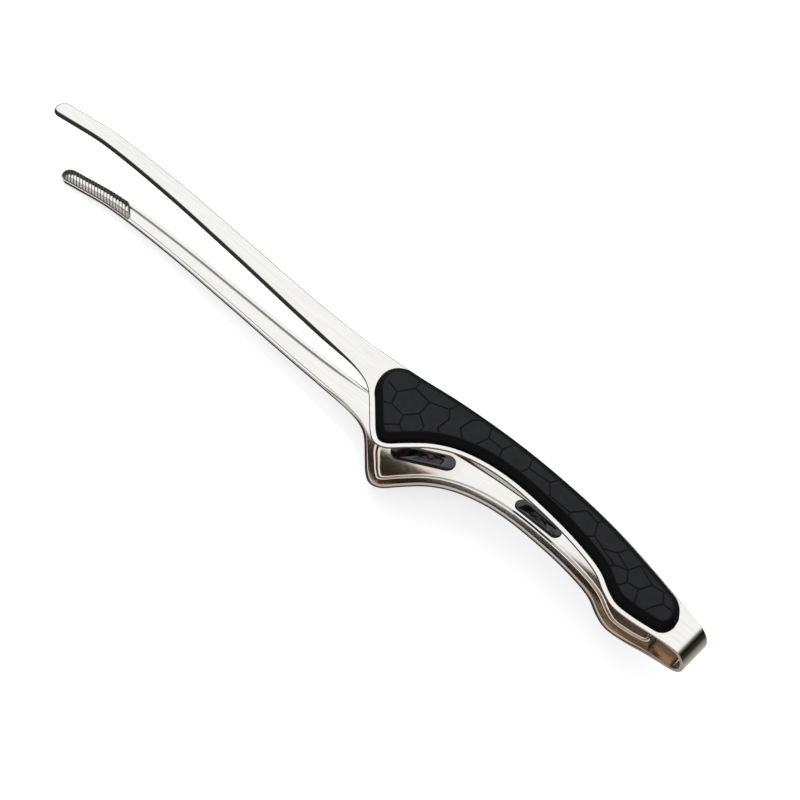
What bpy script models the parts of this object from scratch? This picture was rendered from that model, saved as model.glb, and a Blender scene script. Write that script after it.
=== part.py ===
"""Barbecue tongs: one stainless strip folded into a bow at the tail, with a moulded grip on each arm.

Each arm is a pressed sheet. From the tip it is a narrow gutter whose edges turn towards the other arm,
with a ridged jaw inside the nose. Near the handle the gutter flattens into a wide flange, and a pan is
pressed outwards in the middle of that flange. A plastic grip caps the pan, and two plastic keys fill
the windows in its floor. The two arms are mirror images about a level plane.

Metres, +Z up. X runs from the tips to the bow, Y across the arms, and the origin is under the middle
of the whole object at its lowest point. Most shapes are worked out in arm coordinates: x from the
tip, y across, and w, the height over the outer face of the flange, away from the other arm.
"""

import math

import bmesh
import bpy
from mathutils import Vector
from mathutils.geometry import interpolate_bezier

# Overall form
LENGTH = 0.240
TIP_SPREAD = 0.0296
TIP_FLARE = 0.034
BOW_HEIGHT = 0.0090
HANDLE_FRONT_SPREAD = 0.0202
HANDLE_FRONT_SHARE = 0.554
SHEET = 0.0011
SEAT_GAP = 0.0003

# Plan of an arm
BELLY = 0.0111
TIP_WIDTH = 0.0050
NECK_WIDTH = 0.0072
CORNER_WIDTH = 0.0254
WAIST_WIDTH = 0.0116
HUMP_WIDTH = 0.0162
TAIL_WIDTH = 0.0098
NOSE_LENGTH = 0.0030
NOSE_DROP = 0.0006
NOSE_BLUNT_SHARE = 0.94

# Turned edges of the strip
GUTTER_DEPTH = 0.0016
GUTTER_SPLAY = 0.0003
EDGE_ROUND = 0.0006
HANDLE_LIP_SHARE = 0.25
LIP_END_LENGTH = 0.016
# The turned edges start to flatten at the first share of LENGTH and reach the handle lip at the second
GUTTER_END_SHARE = 0.455
FLANGE_START_SHARE = 0.550

# Jaw
JAW_LENGTH = 0.0255
JAW_DEPTH = 0.0020
JAW_BULGE = 0.0012
JAW_NOSE_WALL = 0.00005
JAW_SIDE_WALL = 0.0001
JAW_ROOT_WALL = 0.0006
RIDGE_PITCH = 0.00091
RIDGE_HEIGHT = 0.00035
RIDGE_ANGLE = math.radians(41.5)
RIDGE_MOUTH_SHARE = 0.30
JAW_ROOT_SHARE = 0.9
JAW_SIDE_STEPS = 11
JAW_TAIL_STEPS = 9

# Pan and windows
PAN_DEPTH = 0.0010
PAN_NEAR_RIM = 0.0027
PAN_FAR_RIM = 0.0021
PAN_WALL_RUN = 0.0016
PAN_WALL_GROW = 0.0003
FRONT_KEY_RADIUS = 0.0026
REAR_KEY_RADIUS = 0.0019
KEY_CLEARANCE = 0.0003
KEY_STAND = 0.0004
KEY_EDGE_ROUND = 0.0003

# Grip
GRIP_HEIGHT = 0.0021
GRIP_NEAR_LAND = 0.00155
GRIP_FAR_LAND = 0.0008
GRIP_SIDE_RUN = 0.0021
GRIP_TOP_WELD = 0.0009

# One overrun serves all cuts
OVERRUN = 0.0005
GROOVE_LEAD = 0.00005
WELD_WITHIN = 0.000003

# An inset point counts as clear of an edge at this share of its inset. It is probed in so many steps
CLEAR_SHARE = 0.975
PROBE_STEPS = 24

# Outer edge on the far side: share of LENGTH, share of BELLY
FAR_EDGE_SHARES = [
    (0.000, 0.28), (0.025, 0.37), (0.085, 0.55), (0.190, 0.59), (0.310, 0.52), (0.440, 0.44),
    (0.520, 0.50), (0.575, 0.63), (0.640, 0.85), (0.720, 0.99), (0.800, 0.98), (0.860, 0.87),
    (0.920, 0.65), (0.960, 0.47), (1.000, 0.29),
]

# Width of the strip: share of LENGTH, the width it follows, share of that width
WIDTH_SHARES = [
    (0.000, TIP_WIDTH, 0.99), (0.100, TIP_WIDTH, 1.02), (0.300, TIP_WIDTH, 1.20),
    (0.440, NECK_WIDTH, 0.98), (0.490, NECK_WIDTH, 1.11), (0.520, CORNER_WIDTH, 0.355),
    (0.540, CORNER_WIDTH, 0.415), (0.555, CORNER_WIDTH, 0.51), (0.579, CORNER_WIDTH, 0.76),
    (0.592, CORNER_WIDTH, 0.90), (0.603, CORNER_WIDTH, 0.985), (0.612, CORNER_WIDTH, 1.00),
    (0.621, CORNER_WIDTH, 0.965), (0.634, CORNER_WIDTH, 0.84), (0.652, CORNER_WIDTH, 0.68),
    (0.674, CORNER_WIDTH, 0.565), (0.703, WAIST_WIDTH, 1.075), (0.740, WAIST_WIDTH, 1.00),
    (0.790, WAIST_WIDTH, 1.02), (0.845, WAIST_WIDTH, 1.09), (0.873, HUMP_WIDTH, 0.84),
    (0.891, HUMP_WIDTH, 0.95), (0.908, HUMP_WIDTH, 1.00), (0.930, HUMP_WIDTH, 0.93),
    (0.960, TAIL_WIDTH, 1.26), (0.985, TAIL_WIDTH, 1.06), (1.000, TAIL_WIDTH, 1.00),
]

# Where the strip's cross-sections are taken: share of LENGTH at the end of a stretch, number of steps
STATION_STRETCH_SHARES = [
    (0.450, 14), (0.590, 19), (0.635, 9), (0.700, 8), (0.860, 10), (0.930, 9),
]
TAIL_STEPS = 8
NOSE_STEPS = 5

# Round-off of a turned edge: share of EDGE_ROUND in from the edge, share of GUTTER_DEPTH down
EDGE_SECTION_SHARES = [(0.13, 0.35), (0.42, 0.10), (1.00, 0.00)]

# Pan wall and grip side: share of the wall's run, share of its height
PAN_WALL_SHARES = [(-0.30, -0.50), (0.34, 0.55), (0.70, 0.90), (1.00, 1.00)]
GRIP_SIDE_SHARES = [(0.00, 0.00), (0.05, 0.16), (0.86, 0.84), (1.00, 0.95), (1.22, 1.00)]

# Where the end caps of the grip and the pan leave the sides: share of LENGTH on the near and far side
GRIP_FRONT_SHARES = (0.5610, 0.5580)
GRIP_TAIL_SHARES = (0.9560, 0.9500)
PAN_FRONT_SHARES = (0.5740, 0.5750)
PAN_TAIL_SHARES = (0.9470, 0.9400)
CAP_REACH_SHARE = 0.18
CAP_ROUND_SHARE = 0.18
CAP_STEPS = 5
LOOP_STEPS = 38

# Middles of the end circles of each key: share of LENGTH, share of BELLY
FRONT_KEY_SHARES = ((0.5995, -0.32), (0.6465, 0.23))
REAR_KEY_SHARES = ((0.7450, 0.54), (0.7930, 0.51))
KEY_ARC_STEPS = 8

BOW_STEPS = 16
BOW_CROSS_STEPS = 4
SHARP_ANGLE = math.radians(50)
ARC_ARM_SHARE = 0.5523
LOOK_AHEAD_SHARE = 0.1

STEEL = ("steel", (0.80, 0.80, 0.79, 1.0), 0.22, 1.0)
GRIP_PLASTIC = ("grip_plastic", (0.020, 0.020, 0.021, 1.0), 0.45, 0.0)
KEY_PLASTIC = ("key_plastic", (0.012, 0.012, 0.013, 1.0), 0.28, 0.0)


def handle_line():
    """The bow's middle, and the slope of the straight face that runs tangent from bow to handle front."""
    radius = BOW_HEIGHT / 2
    middle = LENGTH - radius
    rise = HANDLE_FRONT_SPREAD / 2
    run = middle - HANDLE_FRONT_SHARE * LENGTH
    slope = math.acos(radius / math.hypot(rise, run)) - math.atan2(run, rise)
    return radius, middle, slope


BOW_RADIUS, BOW_MIDDLE, HANDLE_SLOPE = handle_line()
BOW_START = BOW_MIDDLE + BOW_RADIUS * math.sin(HANDLE_SLOPE)


def outer_height(x):
    """Height of the outer face over the middle plane: straight on the handle, flaring at the tip."""
    front = HANDLE_FRONT_SHARE * LENGTH
    if x >= front:
        return BOW_RADIUS / math.cos(HANDLE_SLOPE) + math.tan(HANDLE_SLOPE) * (BOW_MIDDLE - x)
    t = x / front
    tip = TIP_SPREAD / 2
    root = outer_height(front)
    pull = -math.tan(HANDLE_SLOPE) * front
    flare = -TIP_FLARE * front
    height = tip * (2 * t**3 - 3 * t**2 + 1) + root * (3 * t**2 - 2 * t**3)
    return height + flare * (t**3 - 2 * t**2 + t) + pull * (t**3 - t**2)


def smooth_value(points, x):
    """Cubic through the points, with the slope at each one taken from its neighbours."""
    last = len(points) - 1
    i = max(k for k in range(last) if k == 0 or points[k][0] <= x)

    def slope(k):
        (x0, y0), (x1, y1) = points[max(k - 1, 0)], points[min(k + 1, last)]
        return (y1 - y0) / (x1 - x0)

    (xa, ya), (xb, yb) = points[i], points[i + 1]
    span = xb - xa
    t = min(max((x - xa) / span, 0), 1)
    ease = t * t * (3 - 2 * t)
    return (
        ya * (1 - ease)
        + yb * ease
        + slope(i) * span * t * (1 - t) ** 2
        - slope(i + 1) * span * t * t * (1 - t)
    )


FAR_POINTS = [(x * LENGTH, y * BELLY) for x, y in FAR_EDGE_SHARES]
WIDTH_POINTS = [(x * LENGTH, width * share) for x, width, share in WIDTH_SHARES]


def plan_edges(x):
    """Near and far edge of the strip at x, drawn in round the nose."""
    far = smooth_value(FAR_POINTS, x)
    width = smooth_value(WIDTH_POINTS, x)
    if x < NOSE_LENGTH:
        middle = far - width / 2
        half = width / 2 * math.sqrt(1 - (NOSE_BLUNT_SHARE * (1 - x / NOSE_LENGTH)) ** 2)
        return middle - half, middle + half
    return far - width, far


def edge_range():
    """Lowest and highest y of the whole strip, turned edges included."""
    lows, highs = [], []
    for x in stations():
        splay = GUTTER_SPLAY * turned_share(x)
        near, far = plan_edges(x)
        lows.append(near - splay)
        highs.append(far + splay)
    return min(lows), max(highs)


def turned_share(x):
    """How far the edges are turned: fully on the gutter, slightly round the handle, not at the bow."""
    gone = x / LENGTH - GUTTER_END_SHARE
    fade = min(max(gone / (FLANGE_START_SHARE - GUTTER_END_SHARE), 0), 1)
    fade = fade * fade * (3 - 2 * fade)
    share = 1 + (HANDLE_LIP_SHARE - 1) * fade
    tail = min(max((BOW_START - x) / LIP_END_LENGTH, 0), 1)
    return share * tail * tail * (3 - 2 * tail)


def stations():
    """Places along the strip where its cross-section is taken, from the nose to the bow's seam."""
    places = [NOSE_LENGTH * (1 - math.cos(math.pi / 2 * k / NOSE_STEPS)) for k in range(NOSE_STEPS)]
    start = NOSE_LENGTH
    seam = BOW_START - SEAT_GAP
    for share, steps in STATION_STRETCH_SHARES:
        end = share * LENGTH
        places += [start + (end - start) * k / steps for k in range(steps)]
        start = end
    places += [start + (seam - start) * k / TAIL_STEPS for k in range(TAIL_STEPS + 1)]
    return places


def nose_drop(x):
    """How far the outer face dips round the nose."""
    return NOSE_DROP * max(1 - x / NOSE_LENGTH, 0) ** 2


LOW_Y, HIGH_Y = edge_range()
HALF_HEIGHT = max(outer_height(x) - nose_drop(x) for x in stations())


def place(x, y, w, side):
    """World point for arm coordinates. side is 1 on the upper arm and -1 on the lower one."""
    height = side * (outer_height(x) + w)
    return Vector((x - LENGTH / 2, y - (LOW_Y + HIGH_Y) / 2, HALF_HEIGHT + height))


def strip_section(x):
    """Closed outline of the strip across the arm at x, as (y, w): along the outer face, back on the inner."""
    near, far = plan_edges(x)
    turned = turned_share(x)
    depth = GUTTER_DEPTH * turned
    outer = [(-GUTTER_SPLAY * turned, -depth)]
    outer += [(EDGE_ROUND * run, -depth * down) for run, down in EDGE_SECTION_SHARES]
    inner = inner_edge(outer[0], outer[1], turned)
    squeeze = min((far - near) / TIP_WIDTH, 1)
    drop = nose_drop(x)
    outer, inner = (
        [(run * squeeze, down - drop * (1 + down / GUTTER_DEPTH)) for run, down in side]
        for side in (outer, inner)
    )
    return (
        [(near + run, w) for run, w in outer]
        + [((near + far) / 2, -drop)]
        + [(far - run, w) for run, w in reversed(outer)]
        + [(far - run, w) for run, w in inner]
        + [(near + run, w) for run, w in reversed(inner)]
    )


def inner_edge(foot, bend, turned):
    """Foot and corner of the inner face, one sheet in from an outer lip that runs from foot up to bend."""
    rise = EDGE_SECTION_SHARES[0][1]
    slope = math.atan2(bend[1] - foot[1], bend[0] - foot[0])
    lean = slope * turned
    crown = bend[0] + (bend[0] - foot[0]) * rise / (1 - rise)
    return [
        (foot[0] + SHEET * math.sin(lean), foot[1] - SHEET * math.cos(lean) * (1 - turned)),
        (crown + SHEET * math.tan(slope / 2), -SHEET),
    ]


def collection(name):
    group = bpy.data.collections.new(name)
    bpy.context.scene.collection.children.link(group)
    return group


def material(spec):
    name, colour, roughness, metallic = spec
    made = bpy.data.materials.new(name)
    made.use_nodes = True
    shader = made.node_tree.nodes["Principled BSDF"]
    shader.inputs["Base Color"].default_value = colour
    shader.inputs["Roughness"].default_value = roughness
    shader.inputs["Metallic"].default_value = metallic
    made.diffuse_color = colour
    made.roughness = roughness
    made.metallic = metallic
    return made


def object_from(bm, name, group):
    """A mesh object from the bmesh, with its faces turned outwards."""
    bmesh.ops.recalc_face_normals(bm, faces=bm.faces)
    mesh = bpy.data.meshes.new(name)
    bm.to_mesh(mesh)
    bm.free()
    made = bpy.data.objects.new(name, mesh)
    group.objects.link(made)
    return made


def ring_solid(rings, name, group, side, top_weld=0):
    """A closed solid lofted through rings of (x, y, w) points, with a flat face on each end ring.

    Points of the last ring that lie within top_weld of each other become one crisp corner."""
    bm = bmesh.new()
    loops = [[bm.verts.new(place(*point, side)) for point in ring] for ring in rings]
    for lower, upper in zip(loops, loops[1:]):
        for k in range(len(lower)):
            j = (k + 1) % len(lower)
            bm.faces.new((lower[k], lower[j], upper[j], upper[k]))
    bm.faces.new(loops[0])
    bm.faces.new(loops[-1])
    if top_weld:
        bmesh.ops.remove_doubles(bm, verts=loops[-1], dist=top_weld)
    bmesh.ops.remove_doubles(bm, verts=bm.verts, dist=WELD_WITHIN)
    bmesh.ops.dissolve_degenerate(bm, edges=bm.edges, dist=WELD_WITHIN)
    return object_from(bm, name, group)


def inward_normal(before, after):
    """Unit vector to the left of the way from before to after."""
    way = (after - before).normalized()
    return Vector((-way.y, way.x))


def inset_edge(side_of_strip, inset, start, end, steps):
    """Points (x, y) along one edge of the strip from start to end, moved in towards the other edge."""
    points = []
    step = (end - start) / steps
    for k in range(steps + 1):
        x = start + step * k
        at, ahead = (Vector((p, plan_edges(p)[side_of_strip])) for p in (x, x + step * LOOK_AHEAD_SHARE))
        points.append(at + inset * inward_normal(at, ahead))
    return points


def cap(start, start_way, end, end_way):
    """A blunt end with two round corners. The ways are the directions of travel at its two ends."""
    reach = CAP_REACH_SHARE * (end - start).length
    first, last = start + reach * start_way, end - reach * end_way
    inner = first.lerp(last, CAP_ROUND_SHARE), last.lerp(first, CAP_ROUND_SHARE)
    points = []
    for before, corner, after in ((start, first, inner[0]), (inner[1], last, end)):
        arms = before.lerp(corner, ARC_ARM_SHARE), after.lerp(corner, ARC_ARM_SHARE)
        points += interpolate_bezier(before, *arms, after, CAP_STEPS)
    return [Vector(point[:2]) for point in points][1:-1]


def handle_loop(near_inset, far_inset, front_shares, tail_shares):
    """Closed outline inside the flange, anticlockwise: along the near edge, round the tail and back."""
    near = inset_edge(
        0, near_inset, front_shares[0] * LENGTH, tail_shares[0] * LENGTH, LOOP_STEPS
    )
    far = inset_edge(1, far_inset, tail_shares[1] * LENGTH, front_shares[1] * LENGTH, LOOP_STEPS)
    near = [p for p in near if clear_of_edges(p, near_inset)]
    tail = cap(near[-1], (near[-1] - near[-2]).normalized(), far[0], (far[1] - far[0]).normalized())
    front = cap(far[-1], (far[-1] - far[-2]).normalized(), near[0], (near[1] - near[0]).normalized())
    return near + tail + far + front


def clear_of_edges(point, inset):
    """Whether an inset point keeps its distance from the near edge, which fails inside a tight corner."""
    reach = 2 * inset
    start = point.x - reach
    nearest = min(
        (Vector((x, plan_edges(x)[0])) - point).length
        for x in (start + 2 * reach * k / PROBE_STEPS for k in range(PROBE_STEPS + 1))
    )
    return nearest > inset * CLEAR_SHARE


def inset_loop(loop, distance):
    """The loop moved inwards. Points that would cross in a tight corner join the nearest clear one."""
    count = len(loop)
    moved = [
        loop[k] + distance * inward_normal(loop[k - 1], loop[(k + 1) % count]) for k in range(count)
    ]
    clear = [min(gap_to_segment(p, loop, k) for k in range(count)) > CLEAR_SHARE * distance for p in moved]
    inset = []
    for k in range(count):
        back = next(step for step in range(count) if clear[k - step])
        ahead = next(step for step in range(count) if clear[(k + step) % count])
        inset.append(moved[k - back] if back <= ahead else moved[(k + ahead) % count])
    return inset


def gap_to_segment(point, loop, k):
    """Distance from a point to the loop's k-th side."""
    start, end = loop[k - 1], loop[k]
    way = end - start
    t = min(max((point - start).dot(way) / way.length_squared, 0), 1)
    return (start + t * way - point).length


def pan_loop():
    return handle_loop(PAN_NEAR_RIM, PAN_FAR_RIM, PAN_FRONT_SHARES, PAN_TAIL_SHARES)


def walled_rings(loop, run, bottom, height, wall_shares):
    """Rings up a sloping wall that leaves the loop at bottom and levels out at bottom + height."""
    rings = []
    for across, up in wall_shares:
        ring = inset_loop(loop, across * run) if across else loop
        rings.append([(p.x, p.y, bottom + up * height) for p in ring])
    return rings


def strip_sheet(name, group, side):
    """The pressed strip of one arm without its pan, lofted through its cross-sections."""
    rings = [[(x, y, w) for y, w in strip_section(x)] for x in stations()]
    return ring_solid(rings, name, group, side)


def boolean(target, other, operation, name):
    step = target.modifiers.new(name, "BOOLEAN")
    step.operation = operation
    step.object = other
    step.solver = "EXACT"


def pan_tool(name, group, side, grow, bottom):
    """A solid in the pan's shape, grown sideways from the pan's inner wall, whose wall starts at bottom."""
    loop = pan_loop()
    base = inset_loop(loop, -grow) if grow else loop
    rings = walled_rings(base, PAN_WALL_RUN, bottom, PAN_DEPTH, PAN_WALL_SHARES)
    return ring_solid(rings, name, group, side)


def key_loop(shares, radius, grow):
    """Outline of a key: two half circles joined by straight sides."""
    (start, end) = (Vector((x * LENGTH, y * BELLY)) for x, y in shares)
    way = (end - start).normalized()
    heading = math.atan2(way.y, way.x)
    points = []
    for middle, first in ((end, heading - math.pi / 2), (start, heading + math.pi / 2)):
        for k in range(KEY_ARC_STEPS + 1):
            angle = first + math.pi * k / KEY_ARC_STEPS
            points.append(middle + (radius + grow) * Vector((math.cos(angle), math.sin(angle))))
    return points


def key_rings(shares, radius, grow, bottom, top, round_off):
    """Rings of a key or of its window, with a small round-off at the bottom where it is given."""
    inner = key_loop(shares, radius, grow - round_off)
    outer = key_loop(shares, radius, grow)
    rings = [[(p.x, p.y, bottom) for p in inner]] if round_off else []
    rings.append([(p.x, p.y, bottom + round_off) for p in outer])
    rings.append([(p.x, p.y, top) for p in outer])
    return rings


def jaw_outline(inset):
    """Plan of the ridged pad: the nose of the strip, cut off at the back by a bulging slanted end."""
    way = Vector((math.cos(RIDGE_ANGLE), -math.sin(RIDGE_ANGLE)))
    half = TIP_WIDTH / 2 / math.sin(RIDGE_ANGLE)
    back = Vector((JAW_LENGTH, sum(plan_edges(JAW_LENGTH)) / 2))
    outline = []
    for edge, end in ((0, back + half * way), (1, back - half * way)):
        side = []
        for k in range(JAW_SIDE_STEPS + 1):
            x = JAW_NOSE_WALL + (end.x - JAW_NOSE_WALL) * (k / JAW_SIDE_STEPS) ** 2
            near, far = plan_edges(x)
            middle = (near + far) / 2
            kept = 1 - 2 * inset / TIP_WIDTH
            side.append(Vector((x, middle + kept * ((near, far)[edge] - middle))))
        outline.append(side)
    near_side, far_side = outline
    bulge = JAW_BULGE * Vector((math.sin(RIDGE_ANGLE), math.cos(RIDGE_ANGLE)))
    end = interpolate_bezier(
        near_side[-1], near_side[-1] + bulge, far_side[-1] + bulge, far_side[-1], JAW_TAIL_STEPS
    )
    return near_side[:-1] + [Vector(p[:2]) for p in end] + far_side[-2::-1]


def jaw_pad(name, group, side):
    """The pad inside the nose, from within the sheet to the tops of its ridges."""
    rings = [
        [(p.x, p.y, w) for p in jaw_outline(inset)]
        for inset, w in (
            (JAW_ROOT_WALL, -JAW_ROOT_SHARE * SHEET),
            (JAW_SIDE_WALL, -JAW_ROOT_SHARE * GUTTER_DEPTH),
            (JAW_SIDE_WALL, -JAW_DEPTH),
        )
    ]
    return ring_solid(rings, name, group, side)


def ridge_grooves(name, group, side):
    """One cutter with a row of V-shaped grooves, slanted across the jaw."""
    along = Vector((math.cos(RIDGE_ANGLE), -math.sin(RIDGE_ANGLE)))
    over = Vector((math.sin(RIDGE_ANGLE), math.cos(RIDGE_ANGLE)))
    start, end = (Vector((x, sum(plan_edges(x)) / 2)) for x in (0, JAW_LENGTH))
    step = (end - start) * RIDGE_PITCH / (end - start).dot(over)
    count = int(JAW_LENGTH / step.x)
    lead = GROOVE_LEAD
    mouth = RIDGE_MOUTH_SHARE * RIDGE_PITCH
    bm = bmesh.new()
    for k in range(count):
        middle = start + (k + 0.5) * step
        corners = []
        for end_shift in (-TIP_WIDTH, TIP_WIDTH):
            for shift, deep in ((-mouth, -lead), (0, RIDGE_HEIGHT), (mouth, -lead)):
                p = middle + shift * over + end_shift * along
                level = outer_height(middle.x) - outer_height(p.x)
                corners.append(bm.verts.new(place(p.x, p.y, level + deep - JAW_DEPTH, side)))
        a, b, c, d, e, f = corners
        for face in ((a, b, c), (d, f, e), (a, d, e, b), (b, e, f, c), (a, c, f, d)):
            bm.faces.new(face)
    return object_from(bm, name, group)


def make_arm(name, parts, cutters, side):
    """One arm: strip, pressed pan with its two windows, and the ridged jaw."""
    arm = strip_sheet(name, parts, side)
    form = pan_tool(name + "_pan_form", cutters, side, PAN_WALL_GROW, 0)
    boolean(arm, form, "UNION", "pan")
    floor = PAN_DEPTH - SHEET
    hollow = pan_tool(name + "_pan_hollow", cutters, side, 0, -SHEET)
    boolean(arm, hollow, "DIFFERENCE", "pan_hollow")
    for key, shares, radius in key_specs():
        rings = key_rings(shares, radius, KEY_CLEARANCE, floor - OVERRUN, PAN_DEPTH + OVERRUN, 0)
        window = ring_solid(rings, name + "_" + key + "_window", cutters, side)
        boolean(arm, window, "DIFFERENCE", key + "_window")
    pad = jaw_pad(name + "_jaw_pad", cutters, side)
    boolean(pad, ridge_grooves(name + "_ridge_grooves", cutters, side), "DIFFERENCE", "grooves")
    boolean(arm, pad, "UNION", "jaw")
    return arm


def key_specs():
    return (
        ("front_key", FRONT_KEY_SHARES, FRONT_KEY_RADIUS),
        ("rear_key", REAR_KEY_SHARES, REAR_KEY_RADIUS),
    )


def make_key(name, parts, side, shares, radius):
    """A plastic key that fills a window, standing a little into the pan."""
    bottom = PAN_DEPTH - SHEET - KEY_STAND
    return ring_solid(key_rings(shares, radius, 0, bottom, PAN_DEPTH, KEY_EDGE_ROUND), name, parts, side)


def make_grip(name, parts, cutters, side):
    """A moulded cap with sloping sides and a flat top, hollow underneath where it covers the pan."""
    loop = handle_loop(GRIP_NEAR_LAND, GRIP_FAR_LAND, GRIP_FRONT_SHARES, GRIP_TAIL_SHARES)
    rings = walled_rings(loop, GRIP_SIDE_RUN, SEAT_GAP, GRIP_HEIGHT - SEAT_GAP, GRIP_SIDE_SHARES)
    grip = ring_solid(rings, name, parts, side, GRIP_TOP_WELD)
    grow = PAN_WALL_GROW + SEAT_GAP
    pocket = pan_tool(name + "_pocket", cutters, side, grow, SEAT_GAP)
    boolean(grip, pocket, "DIFFERENCE", "pocket")
    return grip


def make_bow(name, parts):
    """The fold at the tail: the strip carried round from one arm's seam to the other's."""
    bm = bmesh.new()
    bmesh.ops.create_grid(bm, x_segments=BOW_STEPS, y_segments=BOW_CROSS_STEPS, size=1)
    sweep = math.pi / 2 - HANDLE_SLOPE
    for vert in bm.verts:
        angle = sweep * vert.co.x
        x = BOW_MIDDLE + BOW_RADIUS * math.cos(angle)
        near, far = plan_edges(x)
        y = near + (far - near) * (1 + vert.co.y) / 2
        flat = place(x, y, 0, 1)
        vert.co = Vector((flat.x, flat.y, HALF_HEIGHT - BOW_RADIUS * math.sin(angle)))
    mesh = bpy.data.meshes.new(name)
    bm.to_mesh(mesh)
    bm.free()
    bow = bpy.data.objects.new(name, mesh)
    parts.objects.link(bow)
    wall = bow.modifiers.new("sheet", "SOLIDIFY")
    wall.thickness = SHEET
    wall.offset = -1
    wall.use_even_offset = True
    return bow


def clear_scene():
    for item in list(bpy.data.objects):
        bpy.data.objects.remove(item, do_unlink=True)


def carry(child, parent):
    """Parents the child and keeps its place in the world."""
    child.parent = parent
    child.matrix_parent_inverse = parent.matrix_world.inverted()


def dress(made, spec):
    """Gives a piece its own material and smooth shading with sharp edges kept."""
    made.data.materials.append(material((made.name + "_" + spec[0],) + spec[1:]))
    made.data.shade_smooth()
    made.data.set_sharp_from_angle(angle=SHARP_ANGLE)


def main():
    clear_scene()
    parts = collection("barbecue_tongs")
    cutters = collection("cutters")
    hinge = bpy.data.objects.new("squeeze_axis", None)
    hinge.location = (BOW_MIDDLE - LENGTH / 2, 0, HALF_HEIGHT)
    parts.objects.link(hinge)
    bpy.context.view_layer.update()
    dress(make_bow("tail_bow", parts), STEEL)
    for name, side in (("lower", -1), ("upper", 1)):
        arm = make_arm(name + "_arm", parts, cutters, side)
        dress(arm, STEEL)
        grip = make_grip(name + "_grip", parts, cutters, side)
        dress(grip, GRIP_PLASTIC)
        carried = [grip]
        for key, shares, radius in key_specs():
            made = make_key(name + "_" + key, parts, side, shares, radius)
            dress(made, KEY_PLASTIC)
            carried.append(made)
        for piece in carried:
            carry(piece, arm)
        if side > 0:
            carry(arm, hinge)
    for cutter in cutters.objects:
        cutter.hide_render = True
        cutter.display_type = "WIRE"


main()
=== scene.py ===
"""Barbecue tongs: the visible pieces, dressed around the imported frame."""

import math

import bmesh
import bpy
import numpy as np
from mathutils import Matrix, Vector


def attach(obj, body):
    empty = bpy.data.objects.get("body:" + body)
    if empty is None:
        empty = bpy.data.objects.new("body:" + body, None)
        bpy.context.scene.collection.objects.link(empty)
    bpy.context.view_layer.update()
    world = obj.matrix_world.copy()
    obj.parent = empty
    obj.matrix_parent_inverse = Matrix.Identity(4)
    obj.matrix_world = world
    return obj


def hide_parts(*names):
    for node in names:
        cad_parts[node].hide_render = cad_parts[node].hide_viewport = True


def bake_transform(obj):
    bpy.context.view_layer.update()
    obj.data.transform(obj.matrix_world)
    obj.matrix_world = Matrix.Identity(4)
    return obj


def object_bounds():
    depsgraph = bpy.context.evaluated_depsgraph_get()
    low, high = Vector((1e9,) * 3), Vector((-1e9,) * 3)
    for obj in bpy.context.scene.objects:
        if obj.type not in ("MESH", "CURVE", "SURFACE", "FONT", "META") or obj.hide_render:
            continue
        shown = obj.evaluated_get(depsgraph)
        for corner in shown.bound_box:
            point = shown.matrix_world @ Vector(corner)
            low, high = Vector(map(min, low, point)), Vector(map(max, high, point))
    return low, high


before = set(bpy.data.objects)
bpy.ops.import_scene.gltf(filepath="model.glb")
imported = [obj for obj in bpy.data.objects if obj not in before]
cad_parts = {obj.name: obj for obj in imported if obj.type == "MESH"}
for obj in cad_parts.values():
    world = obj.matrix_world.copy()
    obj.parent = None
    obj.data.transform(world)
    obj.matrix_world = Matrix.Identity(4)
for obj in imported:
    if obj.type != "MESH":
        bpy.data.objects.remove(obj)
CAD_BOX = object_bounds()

bl_info = {
    "name": "Barbecue tongs",
    "version": (1, 0, 0),
    "blender": (4, 5, 0),
    "location": "View3D > Sidebar > Tongs",
    "description": "Builds the visible pieces of a pair of pressed steel barbecue tongs",
    "category": "Add Mesh",
}

MM = 0.001
LOW_CORNER, HIGH_CORNER = (Vector(corner) for corner in CAD_BOX)

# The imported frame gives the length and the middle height. The plan's middle line is set here
LENGTH = HIGH_CORNER.x - LOW_CORNER.x
MIDDLE_Z = (HIGH_CORNER.z + LOW_CORNER.z) / 2
PLAN_MIDDLE_Y = -0.002978

# Side view: the bow, the straight handles and the gutters that flare to the tips
TIP_SPREAD = 0.02958
TIP_FLARE = 0.034
BOW_HEIGHT = 0.0090
HANDLE_FRONT_SPREAD = 0.0202
HANDLE_FRONT_SHARE = 0.554
BELLY = 0.0111

# Widths that the plan shares below follow
TIP_WIDTH = 0.0050
NECK_WIDTH = 0.0072
CORNER_WIDTH = 0.0254
WAIST_WIDTH = 0.0116
HUMP_WIDTH = 0.0162
TAIL_WIDTH = 0.0098

# Outer edge on the far side: share of LENGTH, share of BELLY
FAR_EDGE_SHARES = [
    (0.000, 0.28), (0.025, 0.37), (0.085, 0.55), (0.190, 0.59), (0.310, 0.52), (0.440, 0.44),
    (0.520, 0.50), (0.575, 0.63), (0.640, 0.85), (0.720, 0.99), (0.800, 0.98), (0.860, 0.87),
    (0.920, 0.65), (0.960, 0.47), (1.000, 0.29),
]

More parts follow.
